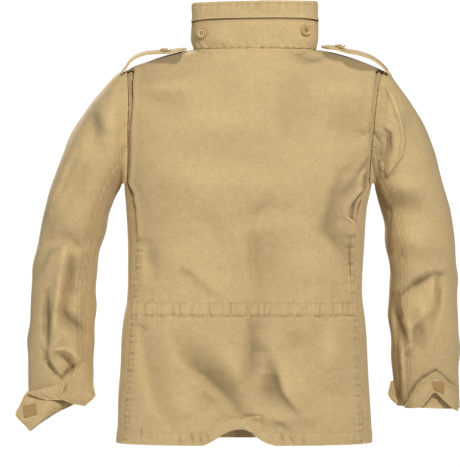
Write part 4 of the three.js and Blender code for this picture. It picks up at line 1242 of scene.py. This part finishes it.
def make_sleeve(side):
    surface = sleeve_surface(side)
    sign = SIGN[side]
    gap = 0.9 * SEAM_GAP / SLEEVE_RADIUS / DEG
    seam = {"band_width": 9, "rows": (2, 8)}
    made = {}
    for part, (start, end) in SLEEVE_ENDS.items():
        columns, rows = SLEEVE_GRID[part]
        angles = graded(start + gap, end - gap, columns, 0.15)
        us = -angles[::-1] if sign > 0 else angles
        panel = Panel(lambda u, w: surface(-sign * u, -w), us, -graded(1, 0, rows))
        relief, wear = fold_sleeve(panel, side)
        low, top = panel.from_w0, panel.from_w1
        near = panel.near("u0", "u1")
        relief += seam_relief(near, top, 0.8 + sign, pucker=SLEEVE_PUCKER[part], **seam)
        relief += 0.5 * ripple(panel.from_u0, 19, 2.6) * bell(top, 12)
        relief += 0.6 * ease(SLEEVE_HEM + 2, SLEEVE_HEM - 1, low) - 0.6 * bell(low - SLEEVE_HEM, 1.5)
        # Seams' painted light and wear, painted highlight and wear on the top and hem edges, and painted
        # shade in the hem's row
        wear += seam_painted_light_and_wear(near, top, 0.8 + sign, **seam) + 0.22 * bell(top, 2)
        wear += 0.25 * bell(low, 2) - 0.3 * bell(low - SLEEVE_HEM, 1.2)
        panel.wear = wear
        panel.push(relief)
        cloth(f"sleeve_{part}_{side}", panel, SATEEN, [f"sleeve_{part}_{side}"], held="hung")
        made[part] = panel
    return made


def make_collar_stand(us):
    panel = Panel(collar_band(0.05, COLLAR_ZIP["low"]), us, graded(0, 1, 49))
    run, low, high = panel.from_u0, panel.from_w0, panel.from_w1
    puckers = ripple(run, 15, 3.1)
    relief = 0.5 * ripple(run, 60, 0.9) * ease(0, 20, low) - 0.55 * bell(high - 3, 1.3)
    relief += 2.2 * wander(run, low, 85, 0.5) * ease(0, 20, low) * ease(0, 12, high)
    relief += 1.4 * puckers * bell(low, 9)
    # Painted shade in the sewn row and at the foot on the back, painted highlight and wear on the edge, and
    # painted light and shade on the puckers
    panel.wear = edge_painted_light_and_wear(high, 3, 0.7, 0.5) - 0.5 * bell(low, 3) + 0.35 * puckers * bell(low - 3, 8)
    panel.push(relief)
    return panel


def make_collar_upper(us):
    panel = Panel(collar_band(COLLAR_ZIP["high"], 1), us, graded(0, 1, 31))
    run, low, high = panel.from_u0, panel.from_w0, panel.from_w1
    middle = bell(panel.points[..., 0] + 8, 22) * (panel.points[..., 1] < 0)
    puckers = ripple(run, 12, 0.3) * bell(high - 5, 15)
    relief = 0.8 * bell(low, 4) - 0.55 * bell(high - 5, 1.3) - 1.4 * bell(high, 1.4)
    relief += (0.7 + 3.4 * middle) * puckers + 1.8 * wander(run, low, 60, 1.2) * ease(0, 12, low)
    # Painted highlight and wear on both edges, painted shade in the sewn row, and painted light and shade on
    # the puckers
    panel.wear = 0.45 * bell(low, 1.8) + 0.4 * bell(high, 1.4) - 0.6 * bell(high - 5, 1.2)
    panel.wear += (0.2 + 0.5 * middle) * puckers
    panel.push(relief)
    return panel


def make_collar():
    end = COLLAR["end"]
    us = graded(-end, end, 301)
    inner = Panel(collar_band(0, 1), graded(-end, end, 181), graded(0, 1, 31))
    cloth("collar_inner", inner, SATEEN, ["collar_inner"], thick=COLLAR["inner"])
    step = COLLAR["inner"] / 2 + 1.5 * SEAM_GAP + COLLAR["outer"] / 2
    outer = {"thick": COLLAR["outer"], "base": step, "rests_on": ["collar_inner"]}
    stand = make_collar_stand(us)
    cloth("collar_stand", stand, SATEEN, ["collar_stand"], **outer)
    upper = make_collar_upper(us)
    cloth("collar_upper", upper, SATEEN, ["collar_upper"], **outer)
    tape = Panel(collar_band(COLLAR_ZIP["low"] + 0.002, COLLAR_ZIP["high"] - 0.002), us, graded(0, 1, 7))
    base = COLLAR["inner"] / 2 + SEAM_GAP + COLLAR_ZIP["thick"] / 2
    cloth("collar_zip", tape, TAPE_CLOTH, ["collar_zip"], slot="zip_tape", thick=COLLAR_ZIP["thick"],
          base=base, rests_on=["collar_inner"])
    zip_teeth("collar_zip_teeth", tape, base + 0.7)
    rows = [stand.row("w1", 3), stand.row("w0", 4), upper.row("w1", 5), upper.row("w0", 3)]
    stitches("stitches_collar", rows, step + COLLAR["outer"] / 2, THREAD_COAT)


def zip_teeth(name, tape, lift):
    """Interlocked teeth along the middle of a tape."""
    half = tape.points.shape[1] // 2
    line, out = tape.points[:, half], tape.normals[:, half]
    middle, (start, end), normal = resample(line + out * lift, out, TOOTH["pitch"])
    run = end - start
    run /= np.linalg.norm(run, axis=1, keepdims=True)
    wide = np.cross(normal, run)
    odd = np.arange(len(middle))[:, None] % 2
    shift = np.where(odd, TOOTH["shift"], -TOOTH["shift"])
    corners = []
    for ahead in (-TOOTH["half"], TOOTH["half"]):
        for across, tall in TOOTH_SECTION:
            corners.append(middle + wide * (shift + across) + run * ahead + normal * tall)
    vertices = np.stack(corners, 1).reshape(-1, 3) * MM
    faces = []
    for b in range(0, len(vertices), 8):
        faces += [(b, b + 1, b + 2, b + 3), (b + 7, b + 6, b + 5, b + 4)]
        faces += [(b + m, b + 4 + m, b + 4 + (m + 1) % 4, b + (m + 1) % 4) for m in range(4)]
    piece = new_object(name, vertices.tolist(), faces, ZIP_METAL, smooth_angle=30)


def disc(name, centre, normal, radius, profile, material, holes=()):
    """A round button: a polar grid raised by a profile, with sunken holes."""
    side = np.cross(normal, [0, 0, 1])
    side /= np.linalg.norm(side)
    up = np.cross(side, normal)
    rings, turns = DISC["rings"], DISC["turns"]
    angles = 2 * math.pi * np.arange(turns) / turns
    share, turn = np.meshgrid(np.linspace(0, 1, rings)[1:], angles, indexing="ij")
    px, pz = share * radius * np.cos(turn), share * radius * np.sin(turn)
    high = profile(share)
    for hx, hz in holes:
        high = high - BUTTON["hole_depth"] * ease(1.55, 1.1, np.hypot(px - hx, pz - hz))
    flat = centre + side * px[..., None] + up * pz[..., None]
    top = flat + normal * high[..., None]
    vertices = np.vstack([centre + normal * profile(np.zeros(1)), top.reshape(-1, 3), flat[-1], centre])
    faces = [(0, 1 + t, 1 + (t + 1) % turns) for t in range(turns)]
    for r in range(rings - 1):
        a, b = 1 + r * turns, 1 + (r + 1) * turns
        faces += [(a + t, b + t, b + (t + 1) % turns, a + (t + 1) % turns) for t in range(turns)]
    low = 1 + (rings - 1) * turns
    faces += [(low + (t + 1) % turns, low + t, len(vertices) - 1) for t in range(turns)]
    piece = new_object(name, (vertices * MM).tolist(), faces, material, smooth_angle=40)
    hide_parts(name)
    return side, up


def button_profile(r):
    rim = 2.9 + 0.35 * np.sin(np.clip((r - 0.74) / 0.26, 0, 1) * math.pi)
    well = 2.0 + 0.9 * ease(0.60, 0.74, r)
    top = np.where(r > 0.74, rim, well)
    return top * np.sqrt(np.clip(1 - np.clip((r - 0.9) / 0.1, 0, 1) ** 2 * 0.6, 0, 1))


def snap_profile(r):
    dome = 2.4 * np.sqrt(np.clip(1 - (0.8 * r) ** 2, 0, 1))
    return dome - 0.4 * bell(r - 0.72, 0.06)


def make_button(name, centre, normal, turn=0):
    """A button with four holes and two bars of thread."""
    turns = math.pi / 4 + np.arange(4) * math.pi / 2 + turn
    holes = BUTTON["holes"] * np.stack([np.cos(turns), np.sin(turns)], 1)
    side, up = disc(name, centre, normal, BUTTON["radius"], button_profile, HORN_COAT, holes)
    ends = centre + side * holes[:, :1] + up * holes[:, 1:] + normal * BUTTON["thread"]
    thread_bars(name + "_thread", [(ends[0], ends[3]), (ends[1], ends[2])], normal)


def thread_bars(name, pairs, normal):
    """Short arched bars of thread, round in section, between pairs of points."""
    radius, sides = THREAD_BAR["radius"], THREAD_BAR["sides"]
    shares = np.linspace(0, 1, 5)
    vertices, faces = [], []
    for start, end in pairs:
        run = (end - start) / np.linalg.norm(end - start)
        wide = np.cross(run, normal)
        first = len(vertices)
        for share in shares:
            middle = mix(start, end, share) + normal * THREAD_BAR["arch"] * math.sin(math.pi * share)
            for m in range(sides):
                a = 2 * math.pi * m / sides
                point = middle + normal * radius * math.sin(a) + wide * radius * math.cos(a)
                vertices.append(tuple(point * MM))
        last = len(vertices) - sides
        for a in range(first, last, sides):
            b = a + sides
            faces += [(a + m, a + (m + 1) % sides, b + (m + 1) % sides, b + m) for m in range(sides)]
        faces.append(tuple(reversed(range(first, first + sides))))
        faces.append(tuple(range(last, last + sides)))
    # The thread's near-black colour is painted shade of the button holes
    piece = new_object(name, vertices, faces, THREAD_PAINTED_SHADE_COAT, smooth_angle=60)


def spot(surface, u, w, du, dw):
    """A point of a surface and the normal there, from its neighbours at du and dw."""
    steps = np.array([-1, 0, 1])
    panel = Panel(surface, u + du * steps, w + dw * steps)
    return panel.points[1, 1], panel.normals[1, 1]


def make_collar_buttons():
    lift = COLLAR["inner"] / 2 + SEAM_GAP + COLLAR["outer"] + 2.2
    for side, x, z, turn in COLLAR_BUTTONS:
        sine = (abs(x) / (NECK_HALF + 4)) ** (NECK_BACK_SQUARE / 2)
        angle = math.copysign(math.asin(sine) / DEG, x)
        point, normal = spot(collar_point, angle, z / COLLAR["back"], 0.1, 0.01)
        make_button(f"collar_button_{side}", point + normal * lift, normal, turn)


def make_strap(side):
    sign = SIGN[side]
    share = np.linspace(0, 1, 121)
    line = along([(sign * x, STRAP["y"], z) for x, z in STRAP_LINE[side]], share)
    across = np.array([0, sign, sign * STRAP_TILT[side]])
    across /= np.linalg.norm(across)
    pointed = mix(STRAP["rear"], STRAP["tip"], ease(0.88, 1, share))
    half = np.minimum(mix(STRAP["rear"], STRAP["end"], share), pointed)

    def surface(u, w):
        at = np.clip(np.round(w * (len(share) - 1)).astype(int), 0, len(share) - 1)
        crown = np.array([0, 0, 1]) * (0.6 * (1 - u[..., None] ** 2))
        return line[at] + across * (u * half[at])[..., None] + crown

    panel = Panel(surface, graded(-1, 1, 31, 0.4), share)
    near = panel.near("u0", "u1")
    # Darker all over as painted shade, painted shade in the sewn rows, and painted highlight and wear on the
    # edges
    panel.wear = -0.35 - 0.5 * bell(near - 3, 1) + 0.9 * bell(near, 1.4)
    panel.push(0.35 * ripple(panel.from_w0, 12, 1.5 + sign) * bell(near - 3, 4) - 0.45 * bell(near - 3, 1.1))
    name = f"shoulder_strap_{side}"
    cloth(name, panel, SATEEN, [name], thick=STRAP["thick"], stride=2)
    stitches(f"stitches_strap_{side}", panel.rows(("u0", "u1"), 3), STRAP["thick"] / 2, THREAD_COAT)
    x, z = STRAP_LINE[side][6]
    normal = np.array([0, -STRAP_TILT[side], 1])
    normal /= np.linalg.norm(normal)
    centre = np.array([sign * (x + 4), STRAP["y"], z]) + normal * (STRAP["thick"] / 2 + 1.2)
    make_button(f"strap_button_{side}", centre, normal)


def net_points(net, columns, rows):
    """A smooth grid of points through a net of photo pixels with depths."""
    grid = np.array(net, float)
    flat = from_pixels(grid[..., :2])
    points = np.stack([flat[..., 0], grid[..., 2], flat[..., 1]], -1)
    us, ws = np.linspace(0, 1, columns), np.linspace(0, 1, rows)
    across = np.stack([along_even(row, us) for row in points])
    return np.stack([along_even(across[:, k], ws) for k in range(columns)])


def facing_back(points):
    """A panel from a grid of points, turned so that its outer face looks to the back."""
    us, ws = np.linspace(0, 1, points.shape[0]), np.linspace(0, 1, points.shape[1])
    panel = Panel(lambda u, w: points, us, ws)
    if panel.normals[..., 1].mean() > 0:
        panel = Panel(lambda u, w: points[::-1], us, ws)
    return panel


def make_cuff_piece(name, net, nodes, rows=61, seed=0):
    panel = facing_back(net_points(net, 61, rows))
    near = panel.near("u0", "u1", "w1")
    puckers = ripple(panel.from_u0 + panel.from_w0, 13, seed)
    # Painted shade in the sewn row and in a groove further in, painted highlight and wear on the edges, and
    # painted light and shade on the puckers
    panel.wear = edge_painted_light_and_wear(near, 4, 0.8, 0.7, 1.6) - 0.5 * bell(near - 10, 1.2)
    panel.wear += 0.35 * puckers * bell(near - 4, 8)
    panel.push(0.5 * puckers * bell(near - 4, 7) - 0.6 * bell(near - 4, 1.3))
    cloth(name, panel, SATEEN, nodes, thick=CUFF_CLOTH, stride=2, held="folded")
    stitches("stitches_" + name, panel.rows(("u0", "u1", "w1"), 4), CUFF_CLOTH / 2, THREAD_COAT)
    return panel


def laid_on(panel, corners, count):
    """A four-cornered piece that lies on a panel, from its corners in photo pixels."""
    first, second, third, fourth = from_pixels(corners)
    share = np.linspace(0, 1, count)
    u, w = share[:, None, None], share[None, :, None]
    flat = (1 - w) * mix(first, second, u) + w * mix(fourth, third, u)
    known = panel.points[..., [0, 2]].reshape(-1, 2)
    nearness = (np.linalg.norm(flat[:, :, None] - known, axis=-1) + 0.3) ** -4
    depth = (nearness * panel.points[..., 1].ravel()).sum(-1) / nearness.sum(-1)
    return facing_back(np.stack([flat[..., 0], depth, flat[..., 1]], -1))


def make_patch(side, guard):
    """A square of hook-and-loop nap sewn on a hand guard."""
    name = f"guard_patch_{side}"
    panel = laid_on(guard, PATCHES[side], PATCH_COUNT)
    base = CUFF_CLOTH / 2 + SEAM_GAP + PATCH_CLOTH / 2
    cloth(name, panel, NAP_LOOPS, [name], slot="hook_nap", thick=PATCH_CLOTH, base=base, stride=2,
          rests_on=[f"hand_guard_{side}"])
    sewn = panel.rows(("u0", "u1", "w0", "w1"), 1.4)
    stitches(f"stitches_patch_{side}", sewn, base + PATCH_CLOTH / 2, THREAD_COAT)


def make_cuffs():
    panels = {}
    for number, (name, net) in enumerate(CUFF_NETS.items()):
        panels[name] = make_cuff_piece(name, net, [name], seed=number + 0.3)
    for side in SIDES:
        make_patch(side, panels[f"hand_guard_{side}"])
    make_cuff_piece("cuff_band_left", CUFF_BAND, [], rows=31, seed=5.5)


def pocket_slack(panel, side):
    reach = np.abs(panel.u)
    return front_waves(panel, side) * ease(FRONT_SEAM, FRONT_SEAM - 40, reach) * ease(3, 63, reach)


def make_pocket(pocket, side):
    us = graded(*sorted((-SIGN[side] * pocket["near"], -SIGN[side] * pocket["far"])), 61, 0.3)
    name = f"pocket_{pocket['name']}_{side}"
    body = Panel(front_point, us, graded(*pocket["body"], 61, 0.3))
    near = body.near("u0", "u1", "w0")
    puckers = 0.5 * ripple(body.from_u0 + body.from_w0, 14, 1.2) * bell(near, 7)
    # Painted shade in the sewn row, and painted highlight and wear on the edges
    body.wear = edge_painted_light_and_wear(near, 3)
    body.push(5 * ease(0, 45, near) + pocket_slack(body, side) - 0.6 * bell(near - 3, 1.4) + puckers)
    base = CLOTH / 2 + SEAM_GAP + POCKET_CLOTH / 2
    cloth(name, body, SATEEN, [name], thick=POCKET_CLOTH, base=base, rests_on=[f"front_{side}"])

    flap_name = f"flap_{pocket['name']}_{side}"
    flap = Panel(front_point, us, graded(*pocket["flap"], 41, 0.3))
    beside = flap.near("u0", "u1")
    near = flap.near("u0", "u1", "w0")
    bulge = 5 * ease(0, 45, beside) * ease(0, 30, flap.from_w1) + 0.8
    # Painted shade in the sewn row, and painted highlight and wear on the edges
    flap.wear = edge_painted_light_and_wear(near, 3)
    flap.push(bulge + pocket_slack(flap, side) - 0.6 * bell(near - 3, 1.4))
    top = base + POCKET_CLOTH / 2 + SEAM_GAP + FLAP_CLOTH / 2
    cloth(flap_name, flap, SATEEN, [flap_name], thick=FLAP_CLOTH, base=top, rests_on=[name])

    sewn = body.rows(("u0", "u1", "w0"), 3)
    stitches("stitches_" + name, sewn, base + POCKET_CLOTH / 2, THREAD_COAT)
    sewn = flap.rows(("u0", "u1", "w0", "w1"), 3)
    stitches("stitches_" + flap_name, sewn, top + FLAP_CLOTH / 2, THREAD_COAT)


def make_closure():
    inside = -(CLOTH / 2 + SEAM_GAP + ZIP["thick"] / 2)
    tape = Panel(front_point, graded(-ZIP["half"], ZIP["half"], 21), graded(0, ZIP["top"], 161))
    cloth("front_zip", tape, TAPE_CLOTH, ["front_zip"], slot="zip_tape", thick=ZIP["thick"], base=inside,
          rests_on=["front_left", "front_right"])
    outside = CLOTH / 2 + SEAM_GAP + FLY["thick"] / 2
    fly = Panel(front_point, graded(-FLY["right"], FLY["left"], 41, 0.3), graded(0, FLY["top"], 241))
    near = fly.near("u0", "u1")
    up = fly.from_w0
    # Painted shade in the sewn row, and painted highlight and wear on the edges
    fly.wear = edge_painted_light_and_wear(near, 4)
    fly.push(0.5 * ripple(up, 70, 0.4) + 0.5 - 0.6 * bell(near - 4, 1.4)
             + 0.5 * ripple(up, 14, 2) * bell(near - 4, 6))
    cloth("front_fly", fly, SATEEN, ["front_fly"], thick=FLY["thick"], base=outside, rests_on=["front_left"])
    stitches("stitches_fly", fly.rows(("u0", "u1"), 4), outside + FLY["thick"] / 2, THREAD_COAT)
    lift = CLOTH / 2 + SEAM_GAP + FLY["thick"] + 0.4
    for index, level in enumerate(FLY_SNAPS):
        point, normal = spot(front_point, (FLY["left"] - FLY["right"]) / 2 + 4, level, 0.5, 0.001)
        centre = point + normal * lift
        disc(f"fly_snap_{index + 1}", centre, normal, SNAP["radius"], snap_profile, BRASS_COAT)


def make_stitches(back, casing, sleeves, fronts, pleats):
    half = CLOTH / 2
    keep = back.w[0] < 0.53
    sewn = [(points[keep], normals[keep]) for points, normals in back.rows(("u0", "u1"), 2.5, 9)]
    stitches("stitches_back", [*sewn, back.row("w0", HEM)], half, THREAD_COAT)
    on_casing = half + SEAM_GAP + CASING["cloth"]
    stitches("stitches_casing", casing.rows(("w0", "w1"), 2.4), on_casing, THREAD_COAT)
    for side, parts in sleeves.items():
        rows = []
        for panel in parts.values():
            rows += [*panel.rows(("u0", "u1"), 2, 8), panel.row("w0", SLEEVE_HEM)]
        stitches(f"stitches_sleeve_{side}", rows, half, THREAD_COAT)
    for side, panel in fronts.items():
        rows = [panel.row("w0", HEM), panel.row("u1" if side == "left" else "u0", 2)]
        stitches(f"stitches_front_{side}", rows, half, THREAD_COAT)
    for side, panel in pleats.items():
        sewn = panel.rows(["u1" if side == "right" else "u0"], 2, 8)
        stitches(f"stitches_pleat_{side}", sewn, -half - PLEAT["drop"], THREAD_COAT)


def make_jacket():
    back = make_back()
    pleats = {side: make_pleat(side) for side in SIDES}
    casing = make_casing()
    fronts = {side: make_front(side) for side in SIDES}
    for pocket in POCKETS:
        for side in SIDES:
            make_pocket(pocket, side)
    make_closure()
    sleeves = {side: make_sleeve(side) for side in SIDES}
    make_collar()
    make_collar_buttons()
    for side in SIDES:
        make_strap(side)
    make_cuffs()
    make_stitches(back, casing, sleeves, fronts, pleats)


# Stage, light and camera

def link(name, data):
    made = bpy.data.objects.new(name, data)
    bpy.context.scene.collection.objects.link(made)
    return made


def make_stage():
    coat = Coat("floor")
    coat.colour((FLOOR["tone"],) * 3, coat.ranged(coat.noise(3, 2), 0.97, 1))
    turns = 2 * math.pi * np.arange(96) / 96
    ring = [(FLOOR["radius"] * math.cos(a), FLOOR["radius"] * math.sin(a), FLOOR["height"]) for a in turns]
    mesh = bpy.data.meshes.new("floor")
    mesh.from_pydata(ring, [], [tuple(range(len(ring)))])
    mesh.materials.append(coat.set({"Roughness": 0.9}))
    link("floor", mesh)


def make_world():
    """White where the camera sees it, and a faint even light on the jacket."""
    world = bpy.data.worlds.new("studio")
    world.use_nodes = True
    nodes, links = world.node_tree.nodes, world.node_tree.links
    nodes.clear()
    choose = nodes.new("ShaderNodeMixShader")
    links.new(nodes.new("ShaderNodeLightPath").outputs["Is Camera Ray"], choose.inputs[0])
    for socket, strength in ((1, WORLD["fill"]), (2, WORLD["seen"])):
        light = nodes.new("ShaderNodeBackground")
        light.inputs["Color"].default_value = (1, 1, 1, 1)
        light.inputs["Strength"].default_value = strength
        links.new(light.outputs[0], choose.inputs[socket])
    links.new(choose.outputs[0], nodes.new("ShaderNodeOutputWorld").inputs["Surface"])
    bpy.context.scene.world = world


def make_lights():
    for name, place, size, power in LIGHTS:
        lamp = bpy.data.lights.new(name, "AREA")
        lamp.shape = "SQUARE"
        lamp.size = size
        lamp.energy = power
        made = link(name, lamp)
        made.location = place
        made.rotation_euler = (Vector(LIGHT_AIM) - Vector(place)).to_track_quat("-Z", "Y").to_euler()


def make_camera():
    lens = bpy.data.cameras.new("camera")
    lens.sensor_fit = "HORIZONTAL"
    lens.sensor_width = 36
    lens.lens = 36 * -CAMERA["y"] / CAMERA["width"]
    made = link("camera", lens)
    made.location = (CAMERA["x"], CAMERA["y"], CAMERA["z"])
    made.rotation_euler = (math.pi / 2, 0, 0)
    bpy.context.scene.camera = made


make_camera()
make_jacket()
make_stage()
make_world()
make_lights()
bpy.context.scene.view_settings.view_transform = "Standard"
